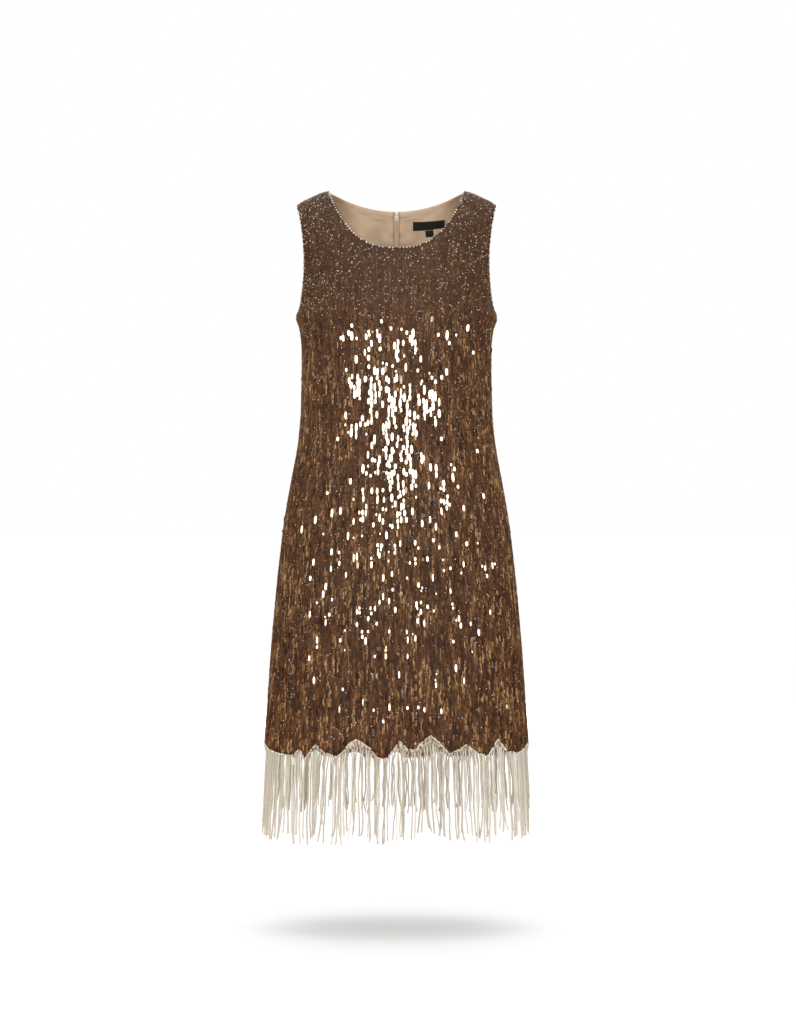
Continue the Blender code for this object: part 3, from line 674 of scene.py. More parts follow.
# %% Lining, tape and labels
def woven(name, dark, light, roughness, scale, sheen=0.0, shaded=False):
    """A woven cloth: slow noise in its colour, and two crossed waves of thread in its bump."""
    material, tree, shader = new_material(name, light, roughness)
    clouds, place = stretched_noise(tree, 26, (1, 1, 0.35))
    tone = colour_ramp(tree, clouds, ((0.3, *dark), (0.7, *light)))
    if shaded:
        # Where shaded, each point's shade darkens the cloth towards a deep beige: painted shade.
        tone = mixed(tree, tone, (0.42, 0.36, 0.30, 1), shade_of(tree))
    feed(tree, shader, {"Base Color": tone, "Sheen Weight": sheen})
    heights = {}
    for count, direction in enumerate(("X", "Z")):
        wave = add_node(tree, "ShaderNodeTexWave", {
            "Vector": place, "Scale": scale, "Distortion": 0.6,
        })
        wave.bands_direction = direction
        heights[count] = wave.outputs["Fac"]
    weave = add_node(tree, "ShaderNodeMath", heights)
    weave.operation = "MULTIPLY"
    add_bump(tree, shader, weave.outputs[0], 0.00012, 0.6)
    return material


lining = woven("lining satin", (0.73, 0.54, 0.365), (0.82, 0.63, 0.44), 0.55, 420, 0.15, True)
tape = woven("zip tape", (0.56, 0.40, 0.27), (0.68, 0.50, 0.35), 0.7, 600, 0.1)
satin = woven("black label satin", (0.004, 0.004, 0.004), (0.009, 0.008, 0.009), 0.5, 700)
print("made:", lining.name, tape.name, satin.name)

# %% [markdown]
# Now the cloth itself. Each panel is a thin shell, 1.5 mm thick, on the form of its solid, with
# the creases in it. The front's inside is lined with beige cloth down to above the hem.

# %% The three panels
LINED_ABOVE = 0.768
rows = np.concatenate([
    np.linspace(0, 2, 5), np.linspace(2.5, 8, 15), np.linspace(8.25, 18, 40),
    np.linspace(18.25, 19, 4),
])
# Each piece's panel, its first column, how many columns it has and the painted shade of its lined
# inside
CLOTHS = (
    ("front_cloth", "front", -16, 129, 0.35),
    ("back_cloth_left", "left", 0, 65, 0.45),
    ("back_cloth_right", "right", 0, 65, 0.45),
)
cloths = {}
for name, panel, first, count, shade in CLOTHS:
    column, row = np.meshgrid(np.linspace(first, 16, count), rows)
    outside, inside = [panel_layer(panel, column, row, depth)[0] for depth in (0.0, WALL)]
    if panel != "front":
        outside[:, 0, 0] = inside[:, 0, 0] = SIDE[panel] * zip_opening(rows)
    mesh = shell_mesh(name, outside, inside, flip=panel == "right")
    outer = (len(rows) - 1) * (count - 1)
    lined = np.arange(len(mesh.polygons)) >= outer
    if panel == "front":
        middles = -(inside[:-1, :-1, 2] + inside[1:, 1:, 2]).ravel() / 2
        lined[outer:2 * outer] = middles < LINED_ABOVE
        lined[2 * outer:] = False
    # Painted shade: the lining on the cloth's inside is darkened by the piece's share.
    add_shade(mesh, np.full(len(mesh.vertices), shade))
    cloths[panel] = add_piece(mesh, (ground, lining))
    mesh.polygons.foreach_set("material_index", lined.astype(np.int32))
    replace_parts(cloths[panel], "front_panel" if panel == "front" else f"back_panel_{panel}")
print("front cloth faces:", len(cloths["front"].data.polygons))

# %% [markdown]
# The back is lined too, and this lining shows through the open neck. It ends beside the zip,
# where the bare tape begins. A maker turns the lining's edge under there and sews it down, so it
# pulls a little: small creases run away from the zip's top.

# %% Back lining and zip tape
LINING = 0.0010
TAPE_HALF = 0.0038
LINING_STARTS = TAPE_HALF + 0.0001
UNDER_CLOTH = WALL + SEAM_GAP


def column_at(panel, row, x):
    """The column at which each row of a back panel reaches x, from a fine table of columns."""
    columns = np.linspace(0, 3, 61)
    grid_column, grid_row = np.meshgrid(columns, row)
    lines = np.abs(panel_layer(panel, grid_column, grid_row, UNDER_CLOTH)[0][..., 0])
    wanted = x + np.zeros((len(row), 1))
    return np.array([np.interp(at, line, columns) for at, line in zip(wanted, lines)])


def lining_shade(points):
    """Painted shade on the lining, growing to the sides under the front panel and further down."""
    x, z = np.abs(points[..., 0]), points[..., 2]
    side = smooth_step((x - 0.052) / 0.050)
    low = smooth_step((-0.052 - z) / 0.05)
    return np.clip(0.92 * side + 0.40 * low, 0, 1)


def lining_pull(column, row):
    """Soft creases beside the zip's top: waves along the row that fade with the column."""
    fade = bell(column / 2.6) * bell((row - 2.4) / 1.2)
    wave = np.sin(5.2 * row + 1.3 * column) + 0.6 * np.sin(9.1 * row - 2.2 * column + 1.0)
    slow = 0.5 * np.sin(1.9 * column + 0.7 * row) * bell((row - 4) / 4)
    return 0.0009 * fade * wave + 0.0009 * slow


lining_rows = np.concatenate([
    np.linspace(0, 2, 9), np.linspace(2.25, 8, 24), np.linspace(8.25, 17, 36)
])
lining_shares = np.concatenate([np.linspace(0, 0.02, 4), np.linspace(0.035, 1, 60)])
tape_rows = np.concatenate([np.linspace(0, 8, 33), np.linspace(8.25, 13, 20)])
lining_cloth = {}
for panel, side in SIDE.items():
    flip = panel == "right"
    start = column_at(panel, lining_rows, LINING_STARTS)
    column = start + (HALF_COLUMNS - start) * lining_shares
    row = np.broadcast_to(lining_rows[:, None], column.shape)
    near, normals = panel_layer(panel, column, row, UNDER_CLOTH)
    far, _ = panel_layer(panel, column, row, UNDER_CLOTH + LINING)
    pull = np.maximum(lining_pull(column, row), -0.0001)[..., None] * normals
    mesh = shell_mesh(f"back_lining_shell_{panel}", near - pull, far - pull, flip)
    # Painted shade: dark lines along the top rim and just below it, in the pulled creases and beside
    # the tape's edge.
    fold_shade = 0.30 * bell((row - 1.15) / 0.12) + 0.12 * (row < 0.12)
    fold_shade = fold_shade + 0.5 * np.abs(lining_pull(column, row)) / 0.0012
    fold_shade = fold_shade + 0.45 * bell((np.abs(near[..., 0]) - LINING_STARTS) / 0.0007)
    add_shade(mesh, np.tile(np.clip(lining_shade(near) + fold_shade, 0, 1).ravel(), 2))
    lining_cloth[panel] = add_piece(mesh, (lining,))
    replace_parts(lining_cloth[panel], f"back_lining_{panel}")

    edge = zip_opening(tape_rows)[:, None]
    across = edge + (TAPE_HALF - edge) * np.linspace(0, 1, 7)
    column = column_at(panel, tape_rows, across)
    row = np.broadcast_to(tape_rows[:, None], column.shape)
    near, far = [panel_layer(panel, column, row, UNDER_CLOTH + more)[0] for more in (0, LINING)]
    near[..., 0] = far[..., 0] = side * across
    mesh = shell_mesh(f"zip_tape_shell_{panel}", near, far, flip)
    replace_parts(add_piece(mesh, (tape,)), f"zip_tape_{panel}")
print("lining rows:", len(lining_rows), "tape rows:", len(tape_rows))

# %% [markdown]
# The labels are woven satin, folded and sewn to the lining. Their text is left bare. Each is a
# shell on the lining's surface, with a very slight bow.

# %% Labels
LABEL_LAYER = 0.0008
LABEL_BOW = 0.0003
# Each label's columns and rows at the ends of its upper edge, the same of its lower edge, and
# how much of its height its lower corners lose
LABELS = {
    "neck_label": ((0.966, 3.498), (2.102, 2.457), (1.020, 3.703), (2.568, 2.859), 0.0),
    "size_tab": ((1.870, 2.514), (2.685, 2.752), (1.972, 2.668), (3.031, 3.105), 0.30),
}


def between(ends, share):
    """From the first end to the second, by the share."""
    return ends[0] + (ends[1] - ends[0]) * share


across, down = np.meshgrid(np.linspace(0, 1, 25), np.linspace(0, 1, 13))
for name, (upper_columns, upper_rows, lower_columns, lower_rows, rounded) in LABELS.items():
    column = between((between(upper_columns, across), between(lower_columns, across)), down)
    top, end = between(upper_rows, across), between(lower_rows, across)
    corner = np.maximum(0, np.abs(2 * across - 1) - 0.62) / 0.38
    end = end - rounded * (end - top) * corner**2.4
    bow = LABEL_BOW * np.sin(math.pi * across) * np.sin(math.pi * down)
    lift = UNDER_CLOTH + LINING + SEAM_GAP
    near, normals = panel_layer("right", column, between((top, end), down), lift)
    near = near - bow[..., None] * normals
    mesh = shell_mesh(f"{name}_shell", near, near - LABEL_LAYER * normals, flip=True)
    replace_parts(add_piece(mesh, (satin,)), name)
print("label faces:", len(mesh.polygons))

# %% [markdown]
# Beads and sequins are sewn on in rows that run down the cloth, side by side, as an embroiderer
# with a hook works them on a frame. On the body the rows stay the same distance apart, so where
# the dress narrows at the waist the outer rows run into the side seams.
#
# A table of arc length against angle, at many drops, gives the angle of each row.

# %% Rows down the cloth
SURVEY_DROPS = np.linspace(0.0, 0.89, 90)
SURVEY_ANGLES = np.linspace(0, math.pi / 2, 121)


def arc_table(back):
    """Arc length from the middle of the front or back to each angle, at each drop."""
    angle, drop = np.meshgrid(SURVEY_ANGLES, SURVEY_DROPS)
    points = form(math.pi - angle if back else angle, drop)
    return run_of(points[..., :2], axis=1)


arc_front, arc_back = arc_table(False), arc_table(True)


def angle_of_arc(distance, drop, back):
    """The angle at an arc length from the middle: two rows of the table, each inverted, blended."""
    table = arc_back if back else arc_front
    place = np.clip(drop / (SURVEY_DROPS[1] - SURVEY_DROPS[0]), 0, len(SURVEY_DROPS) - 1.001)
    low = place.astype(int)
    share = place - low
    angles = np.zeros_like(drop)
    for level in np.unique(low):
        here = low == level
        above = np.interp(distance[here], table[level], SURVEY_ANGLES, right=9)
        under = np.interp(distance[here], table[level + 1], SURVEY_ANGLES, right=9)
        angles[here] = above * (1 - share[here]) + under * share[here]
    return angles


SIDE_MARGIN = 0.0011
edge_columns = np.linspace(0, 16, 641)
front_top = top_edge(edge_columns, FRONT_NECK)
back_top = top_edge(edge_columns, BACK_NECK)
front_hem = front_hem_at(np.linspace(0, 32, 1281))
back_hem = back_hem_at(edge_columns)


def hem_limit(angle, back):
    """Drop of the hem at an angle counted from the panel's middle."""
    lower = back_hem if back else front_hem
    return np.interp(np.abs(angle) if back else angle, lower[0], lower[1])


def inside_panel(angle, drop, back, margin):
    """True where a place, its angle counted from the panel's middle, lies well inside the panel.

    Above the underarm the top edge has one drop at each x, but the armhole bends back on itself,
    so there the test is on the angle instead.
    """
    away = np.abs(angle)
    x = section(HALF_WIDTH, drop) * np.sin(away)
    top_angle, top_drop = back_top if back else front_top
    on_neck = edge_columns <= NECK_COLUMNS + SHOULDER_COLUMNS
    neck_x = (section(HALF_WIDTH, top_drop) * np.sin(top_angle))[on_neck]
    neck_limit = np.interp(x, neck_x, top_drop[on_neck], right=float(ridge_drop(SHOULDER_HALF)))
    arm_limit = np.interp(drop, top_drop[~on_neck], top_angle[~on_neck], right=9)
    edge = 0.9 * margin / section(HALF_WIDTH, drop)
    side_edge = SIDE_MARGIN / section(HALF_WIDTH, drop)
    good = (drop > neck_limit + margin) & (drop < hem_limit(angle, back) - margin)
    return good & (away < arm_limit - edge) & (away < math.pi / 2 - side_edge)


print("arc from the front's middle to the side at the waist:", round(arc_front[40, -1], 4))

# %% [markdown]
# The kind of work changes down the dress. The top is mostly single beads. From the bust down,
# long narrow beads lie end to end in most rows, with single ones between them. Flat sequins,
# round ones and long ones, are scattered over this ground.
#
# Every row is worked from the top: the next piece is drawn at random, sewn on, and the thread
# moves on by its length. All rows take their step together, so this is a loop over steps only.

# %% Work the rows
ROW_PITCH = 0.0024
PLATE_PITCH = 0.0044
CAP_PITCH = 0.0021
CAP_START = 0.0011
CAP_OFFSET = 0.13
SEAM_ROW = 1.0
LONG, ROUND, BEAD, BAR = 0, 1, 2, 3
# The shortest length of each kind in that order, and how much longer the longest is
SHORTEST = np.array([0.0076, 0.0036, 0.0018, 0.0046])
LENGTH_SPAN = np.array([0.0070, 0.0036, 0.0006, 0.0054])
SHARE_DROPS = [0.05, 0.18, 0.24, 0.45, 0.86]
KEPT_DROPS = [0.19, 0.20, 0.26, 0.32, 0.46, 0.6]
KEPT_SHARES = [0.0, 0.40, 0.60, 0.80, 0.80, 0.55]
ROWS_END = 0.885
HEM_ROOM = 0.0012
LEAST_BAR = 0.0018
# Behind, no bead lies this near the middle above this drop, so that the pull tab has room
PULL_ROOM = 0.0036
PULL_ROOM_DROP = 0.05
chance = np.random.default_rng(41)


def worked_rows(offsets, first, second, shares):
    """Arc distances, drops, kinds and lengths of the pieces on rows at these arc distances.

    The share of the first kind at a drop comes from a table; the rest is the second kind.
    """
    drop = chance.uniform(0, 0.006, len(offsets))
    found = []
    while drop.min() < ROWS_END:
        share = np.interp(drop, SHARE_DROPS, shares)
        kind = np.where(chance.random(len(offsets)) < share, first, second)
        length = SHORTEST[kind] + LENGTH_SPAN[kind] * chance.random(len(offsets))
        step = 1.03 * length
        found.append(np.stack([offsets, drop + step / 2, kind, length]))
        drop = drop + step
    return np.concatenate(found, axis=1)


def shortened(angle, drop, kind, length, back):
    """Drops and lengths, with each row's last long bead cut so that it ends above the hem."""
    top = drop - length / 2
    room = hem_limit(angle, back) - HEM_ROOM - top
    cut = (kind == BAR) & (room < length) & (room > LEAST_BAR)
    length = np.where(cut, room - 0.0001, length)
    return np.where(cut, top + length / 2, drop), length


def cap_work(back):
    """Single beads on the shoulders' tops, in lines that run from the seam.

    A fine table of the arc length below the seam, at each x, gives the drop of every bead.
    """
    x = np.arange(NECK_HALF + 0.0012, SHOULDER_HALF - 0.001, CAP_PITCH)
    drop = ridge_drop(x)[None, :] + np.linspace(0, 0.012, 121)[:, None]
    angle = angle_at(x[None, :], drop)
    run = run_of(form(math.pi - angle if back else angle, drop))
    stops = np.arange(CAP_START, 0.0200, CAP_PITCH)
    drop = np.stack([np.interp(stops, run[:, k], drop[:, k]) for k in range(len(x))])
    angle = angle_at(x[:, None], drop)
    angle = np.concatenate([angle.ravel(), -angle.ravel()])
    length = 0.0019 + 0.0005 * chance.random(len(angle))
    kind = np.full(len(angle), BEAD)
    return np.stack([angle, np.sign(angle) * CAP_OFFSET, np.tile(drop.ravel(), 2), kind, length])


def both_ways(offsets):
    """The rows to the left of the middle, then those to the right."""
    return np.concatenate([-offsets[::-1], offsets])


half_girth = float(arc_front[:, -1].max()) + 0.01
row_offsets = both_ways(np.arange(ROW_PITCH / 2, half_girth, ROW_PITCH))
row_offsets = np.concatenate([row_offsets, [-SEAM_ROW, SEAM_ROW]])
plate_offsets = both_ways(np.arange(PLATE_PITCH / 2, half_girth, PLATE_PITCH))
pieces = {}
for side in ("front", "back"):
    back = side == "back"
    main = worked_rows(row_offsets, BAR, BEAD, [0.03, 0.08, 0.34, 0.46, 0.50])
    flat = worked_rows(plate_offsets, LONG, ROUND, [0.10, 0.30, 0.50, 0.58, 0.55])
    kept = chance.random(flat.shape[1]) < np.interp(flat[1], KEPT_DROPS, KEPT_SHARES)
    flat[0] += 0.0008 * chance.standard_normal(flat.shape[1])
    offset, drop, kind, length = np.concatenate([main, flat[:, kept]], axis=1)
    offset = offset + 0.00035 * chance.standard_normal(len(offset))
    away = angle_of_arc(np.abs(offset), drop, back)
    beside_seam = math.pi / 2 - 1.1 * SIDE_MARGIN / section(HALF_WIDTH, drop)
    angle = np.sign(offset) * np.where(np.abs(offset) > 0.9 * SEAM_ROW, beside_seam, away)
    drop, length = shortened(angle, drop, kind, length, back)
    half = length / 2
    good = inside_panel(angle, drop, back, 0.0010 + np.where(kind == BEAD, 0.4 * half, half))
    good &= (np.abs(offset) > PULL_ROOM) | (not back) | (drop > PULL_ROOM_DROP)
    work = np.stack([angle, offset, drop, kind, length])[:, good]
    pieces[side] = np.concatenate([work, cap_work(back)], axis=1)
print("pieces:", {side: work.shape[1] for side, work in pieces.items()})

# %% [markdown]
# A sequin hangs from one thread, so it never lies quite flat. Its tilt decides whether it
# flashes. Each gets a small random pitch and roll.
#
# In the photograph the flashes gather below the bust and at the waist, and thin out down the
# skirt. The table gives the share of sequins that lie turned towards the viewer there.

# %% Tilt and tone
# x, drop, half width and half height of each patch of flashes, and the share in its middle
FLASHES = (
    (-0.002, 0.222, 0.090, 0.020, 0.22),
    (-0.002, 0.255, 0.062, 0.022, 0.26),
    (-0.045, 0.300, 0.022, 0.032, 0.60),
    (0.006, 0.305, 0.018, 0.034, 0.60),
    (0.046, 0.310, 0.016, 0.030, 0.50),
    (0.010, 0.362, 0.021, 0.036, 1.40),
    (0.003, 0.424, 0.018, 0.044, 1.60),
    (-0.034, 0.370, 0.032, 0.055, 0.36),
    (0.045, 0.350, 0.020, 0.045, 0.28),
    (-0.012, 0.478, 0.030, 0.036, 0.48),
    (0.000, 0.500, 0.100, 0.110, 0.15),
    (-0.020, 0.640, 0.120, 0.090, 0.13),
    (0.030, 0.700, 0.100, 0.080, 0.080),
    (-0.020, 0.800, 0.150, 0.060, 0.03),
)


def flash_share(x, drop):
    """Share of the sequins that lie turned to the viewer: a sum of bell shaped patches."""
    share = 0.0
    for middle, level, width, height, peak in FLASHES:
        share = share + peak * bell((x - middle) / width, (drop - level) / height)
    return share * smooth_step((drop - 0.195) / 0.015)


def row_tone(distance, drop, seed):
    """A slow change of tone along each row: three waves whose phases depend on the row."""
    row = np.round(distance / ROW_PITCH)
    phase = np.sin(row * 12.9898 + seed) * 43758.5453
    phase = 2 * math.pi * (phase - np.floor(phase))
    other = np.sin(row * 78.233 + seed) * 12543.123
    other = 2 * math.pi * (other - np.floor(other))
    return (np.sin(phase + drop * 58) + np.sin(other + drop * 97) + np.sin(phase * 3 + drop * 21)) / 3


def tilted(down, out, pitch, roll, target, chosen):
    """Down, across and facing directions after a tilt. The chosen pieces face the target."""
    across = np.cross(out, down)
    facing = out + np.tan(pitch)[:, None] * down + np.tan(roll)[:, None] * across
    jitter = np.array([0.010, 0, 0.030]) * chance.standard_normal(out.shape)
    facing = unit(np.where(chosen[:, None], target + jitter, facing))
    down = unit(down - (down * facing).sum(1, keepdims=True) * facing)
    return down, np.cross(facing, down), facing


SEEDS = {"front": 1.7, "back": 5.1}
LOOSE_SHARE = 0.15
LOOSE_TILT, FIRM_TILT = 0.26, 0.10
MIDDLE_SHADE = 0.41
PALE_SHARE, PALER = 0.05, 0.32
QUIET_SHARE = 0.05
worked_frames = {}
for side, (angle, offset, drop, kind, length) in pieces.items():
    count = len(drop)
    away = angle if side == "front" else math.pi - angle
    points = creased(away, drop)
    out = normal_of(away, drop, creased)
    down = unit(creased(away, drop + 0.001) - creased(away, drop - 0.001))
    flat = np.isin(kind, (LONG, ROUND))
    loose = np.where(chance.random(count) < LOOSE_SHARE, LOOSE_TILT, FIRM_TILT)
    pitch = loose * chance.standard_normal(count) * np.where(flat, 1.0, 0.5)
    roll = loose * chance.standard_normal(count) * np.where(flat, 1.0, 0.3)
    level = row_tone(offset, drop, SEEDS[side])
    runs = 0.15 + 2.1 * smooth_step((level + 0.12) / 0.5)
    seen = smooth_step((np.abs(out[:, 1]) - 0.45) / 0.25)
    chosen = chance.random(count) < seen * runs * flash_share(points[:, 0], drop)
    chosen &= flat
    streak = 0.34 * smooth_step((level - 0.12) / 0.45) - 0.22 * smooth_step((-0.05 - level) / 0.5)
    streak = streak * np.interp(drop, [0.16, 0.26, 0.50, 0.65], [0.45, 1.0, 1.0, 1.35])
    shade = MIDDLE_SHADE + streak + np.where(flat, 0.07, 0.115) * chance.standard_normal(count)
    shade = np.clip(shade + PALER * (chance.random(count) < PALE_SHARE), 0, 0.95)
    # Sequins turned to the viewer take the palest tone, so their mirrored flash shows white: partly a
    # painted highlight.
    shade = np.where(chosen, 1.0, shade)
    target = np.array([0.0, -1.0 if side == "front" else 1.0, 0.0])
    down, across, facing = tilted(down, out, pitch, roll, target, chosen)
    keep = ~flat | chosen | (chance.random(count) < QUIET_SHARE)
    whole = (points, down, across, facing, out, drop, kind, length, shade)
    worked_frames[side] = [part[keep] for part in whole]
    print(side, "sequins turned to the viewer:", int(chosen.sum()))

# %% [markdown]
# Now the shapes. A long sequin is an oval plate with eight corners, and a round one is the same
# shape made shorter. A long bead is half a rod with its ends drawn in. A single bead is a small
# dome: one point on top, with a ring of five round its foot.

# %% Make the sequins and beads
DOME_SIDES = 5
FLAT_LIFT, TURNED_LIFT = 0.0012, 0.0019
BAR_ENDS = ((-1.0, 0.55), (-0.86, 1.0), (0.86, 1.0), (1.0, 0.55))
BAR_SECTION = np.array([(-1.0, 0.0), (0.0, 0.95), (1.0, 0.0)])
turns = np.linspace(0, 2 * math.pi, 8, endpoint=False) + math.pi / 8
OVAL = np.column_stack([
    np.sign(np.cos(turns)) * np.abs(np.cos(turns)) ** 0.8,
    np.sign(np.sin(turns)) * np.abs(np.sin(turns)) ** 0.9,
]) * 1.06
PLATE_FACES = np.arange(8)[None, :]
BAR_FACES = grid_faces(4, 3)
DOME_FACES = np.array([(0, 1 + k, 1 + (k + 1) % DOME_SIDES) for k in range(DOME_SIDES)])


def plates(points, down, across, half_width, half_length):
    """Corners of flat plates: the middle plus the oval's two numbers along two directions."""
    wide = across[:, None, :] * (half_width[:, None] * OVAL[None, :, 0])[..., None]
    long = down[:, None, :] * (half_length[:, None] * OVAL[None, :, 1])[..., None]
    return points[:, None, :] + wide + long


def domes(points, down, across, out, radius):
    """Points of small domes: the top, then a ring of five round the foot."""
    turn = np.linspace(0, 2 * math.pi, DOME_SIDES, endpoint=False)
    ring = across[:, None, :] * np.cos(turn)[None, :, None]
    ring = ring + down[:, None, :] * np.sin(turn)[None, :, None]
    ring = points[:, None, :] + ring * radius[:, None, None]
    top = points + out * (1.05 * radius)[:, None]
    return np.concatenate([top[:, None, :], ring], axis=1)


def bars(points, down, across, out, half_width, half_length):
    """Points of half round bars: four sections of three points, the ends drawn in."""
    rings = []
    for end, draw in BAR_ENDS:
        wide = half_width[:, None] * BAR_SECTION[None, :, 0] * draw
        high = half_width[:, None] * BAR_SECTION[None, :, 1] * draw
        ring = points[:, None, :] + across[:, None, :] * wide[..., None]
        ring = ring + out[:, None, :] * high[..., None]
        rings.append(ring + (down * (end * half_length)[:, None])[:, None, :])
    return np.concatenate(rings, axis=1)


for side, whole in worked_frames.items():
    points, down, across, facing, out, drop, kind, length, shade = whole
    flat = np.isin(kind, (LONG, ROUND))
    half_length = length[flat] / 2
    wide = 0.0014 + 0.0009 * chance.random(flat.sum())
    smaller = np.interp(drop[flat], [0.42, 0.60], [1.0, 0.76])
    half_width = smaller * np.where(kind[flat] == LONG, wide, 0.60 * half_length)
    lift = np.where(shade[flat] > 0.99, TURNED_LIFT, FLAT_LIFT)
    lift = lift + 0.0003 * chance.random(flat.sum())
    middles = points[flat] + out[flat] * lift[:, None]
    corners = plates(middles, down[flat], across[flat], half_width, smaller * half_length)
    add_copies(f"sequins_{side}", corners, PLATE_FACES, sequin, shade[flat],
               smooth=False)

    bar = kind == BAR
    half_width = 0.00090 + 0.0002 * chance.random(bar.sum())
    corners = bars(points[bar], down[bar], across[bar], facing[bar], half_width, length[bar] / 2)
    add_copies(f"bar_beads_{side}", corners, BAR_FACES, glass, shade[bar])

    # A share of the single beads is made pale: painted sparkle, standing in for facets that catch the
    # light.
    sparkle_share = np.interp(drop, [0.05, 0.20, 0.30, 0.8], [0.095, 0.08, 0.07, 0.06])
    light = chance.random(len(drop)) < sparkle_share
    shade = np.where(light, chance.random(len(drop)) ** 0.8, shade)
    for name, single, size, material in (
        ("small_beads", (kind == BEAD) & ~light, 1.0, glass),
        ("sparkle_beads", (kind == BEAD) & light, 0.85, crystal),
    ):
        domed = domes(points[single], down[single], across[single], out[single],
                      length[single] / 2 * size)
        add_copies(f"{name}_{side}", domed, DOME_FACES, material, shade[single])
    print(side, "plates:", int(flat.sum()), "bars:", int(bar.sum()),
          "beads:", int((kind == BEAD).sum()))

# %% [markdown]
# The neckline, the armholes and the hem are finished with a line of champagne beads. They hide
# the turned edge, and they give the dress a fine bright outline.


# %% Bead edgings
EDGE_PITCH = 0.0026
BALL_COLUMNS, BALL_ROWS = 6, 5
turn, rise = np.meshgrid(np.linspace(0, 2 * math.pi, BALL_COLUMNS, endpoint=False),
                         np.linspace(0.02, math.pi - 0.02, BALL_ROWS))
BALL = np.stack([np.sin(rise) * np.cos(turn), np.sin(rise) * np.sin(turn), np.cos(rise)], axis=-1)
index = np.arange(BALL_ROWS * BALL_COLUMNS).reshape(BALL_ROWS, BALL_COLUMNS)
after = np.roll(index, -1, axis=1)
BALL_FACES = np.stack([index[:-1], index[1:], after[1:], after[:-1]], axis=-1).reshape(-1, 4)


def blend_at(places, known, values):
    """Rows of a table of values, at places between those known."""
    return np.column_stack([np.interp(places, known, column) for column in values.T])


def edge_line(panel, first, last, count, row, lift):
    """Beads' middles at an even pitch along a panel's edge, lifted out of the cloth's middle."""
    columns = np.linspace(first, last, count)
    points, normals = panel_layer(panel, columns, row, WALL / 2)
    points = points + normals * lift
    run = run_of(points)
    return blend_at(np.linspace(0, run[-1], max(2, int(run[-1] / EDGE_PITCH))), run, points)


# Each edging's beads: radius, how many follow for one light bead, and the lines they lie on, by
# panel, first and last column, number of steps, row and lift
EDGINGS = {
    "neck": (0.00128, 2, (
        ("front", -6.25, 6.25, 281, 0.05, 0.0012), ("left", 0.2, 6.2, 141, 0.6, 0.0010),
        ("right", 0.2, 6.2, 141, 0.6, 0.0010),
    )),
    "armhole": (0.0011, 3, (
        ("front", -9.25, -16, 281, 0.05, 0.0009), ("front", 9.25, 16, 281, 0.05, 0.0009),
        ("left", 9.25, 16, 281, 0.05, 0.0009), ("right", 9.25, 16, 281, 0.05, 0.0009),
    )),
    "hem": (0.00135, 1, (
        ("front", -16, 16, 1281, 19.02, 0.0009), ("left", 0.05, 16, 641, 19.02, 0.0009),
        ("right", 0.05, 16, 641, 19.02, 0.0009),
    )),
}
for name, (size, every, lines) in EDGINGS.items():
    middles = np.concatenate([edge_line(*line) for line in lines])
    radii = size * np.clip(1 + 0.22 * chance.standard_normal(len(middles)), 0.6, 1.5)
    light = (np.arange(len(middles)) % every == 0) & (chance.random(len(middles)) < 0.9)
    for tint, chosen, scale, material in (
        ("light", light, 1.0, champagne), ("dark", ~light, 0.85, glass),
    ):
        radius = (scale * radii[chosen])[:, None, None]
        points = middles[chosen][:, None, :] + radius * BALL.reshape(1, -1, 3)
        shade = chance.uniform(0.2, 0.7, int(chosen.sum()))
        add_copies(f"{name}_beads_{tint}", points, BALL_FACES, material, shade)
    print(name, "beads:", len(middles))

# %% [markdown]
# The fringe hangs from a narrow strip of net behind the hem. Each strand is a thread of small
# champagne beads. A strand is made as a tube whose radius swells at every bead.
#
# The strands start where the solid model's strands start, and swing the same way: the sway is a
# sum of three waves along the hem, so neighbours gather in tufts.

# %% Fringe paths
STRAND_WIDTH = 0.0024
STRAND_DEPTH = 0.0016
STRIP_TOP_ABOVE_EDGE = 0.006
STRIP_HIDDEN = 0.0015
STRIP_SHOWS_AT_PEAK = 0.0105
SWAYS = ((47, 0.0011, 0.4), (29, 0.0013, 2.1), (11, 0.0016, 4.4))


def strand_sway(angle):
    """How far a strand's end swings along the hem: a sum of reach times sin(waves angle + phase)."""
    return sum(reach * np.sin(waves * angle + phase) for waves, reach, phase in SWAYS)


def fringe_roots(panel, columns):
    """The two lowest rows of a panel's inside, the hem's normals, angles, drops and shapes."""
    level, _ = panel_layer(panel, columns, 18, WALL, surface=form)
    hem, normals = panel_layer(panel, columns, 19, WALL, surface=form)
    angle = round_body(panel, place_on(panel, columns, 19)[0])
    if panel == "front":
        _, edge, shape = front_hem_at(columns + HALF_COLUMNS)
    else:
        _, edge, shape = back_hem_at(columns)
        hem[0, 0] = level[0, 0] = SIDE[panel] * SEAM_GAP / 2
    return level, hem, normals, angle, edge, shape


def strip_bottom(edge, shape):
    """Drop of the strip's lower edge: hidden behind a lobe, and in sight between two lobes."""
    return edge - STRIP_HIDDEN + (STRIP_SHOWS_AT_PEAK + STRIP_HIDDEN) * (1 - shape)


def at_drop(level, hem, edge, drop):
    """Points between the two lowest rows, at a drop for each of their columns."""
    share = ((drop - LAST_LEVEL_DROP) / (edge - LAST_LEVEL_DROP))[:, None]
    return level * (1 - share) + hem * share


LENGTH_SPREAD = 0.008
RADIAL_SPREAD = 0.0012
SHORT_SHARE = 0.12
SHORT_BY = 0.022


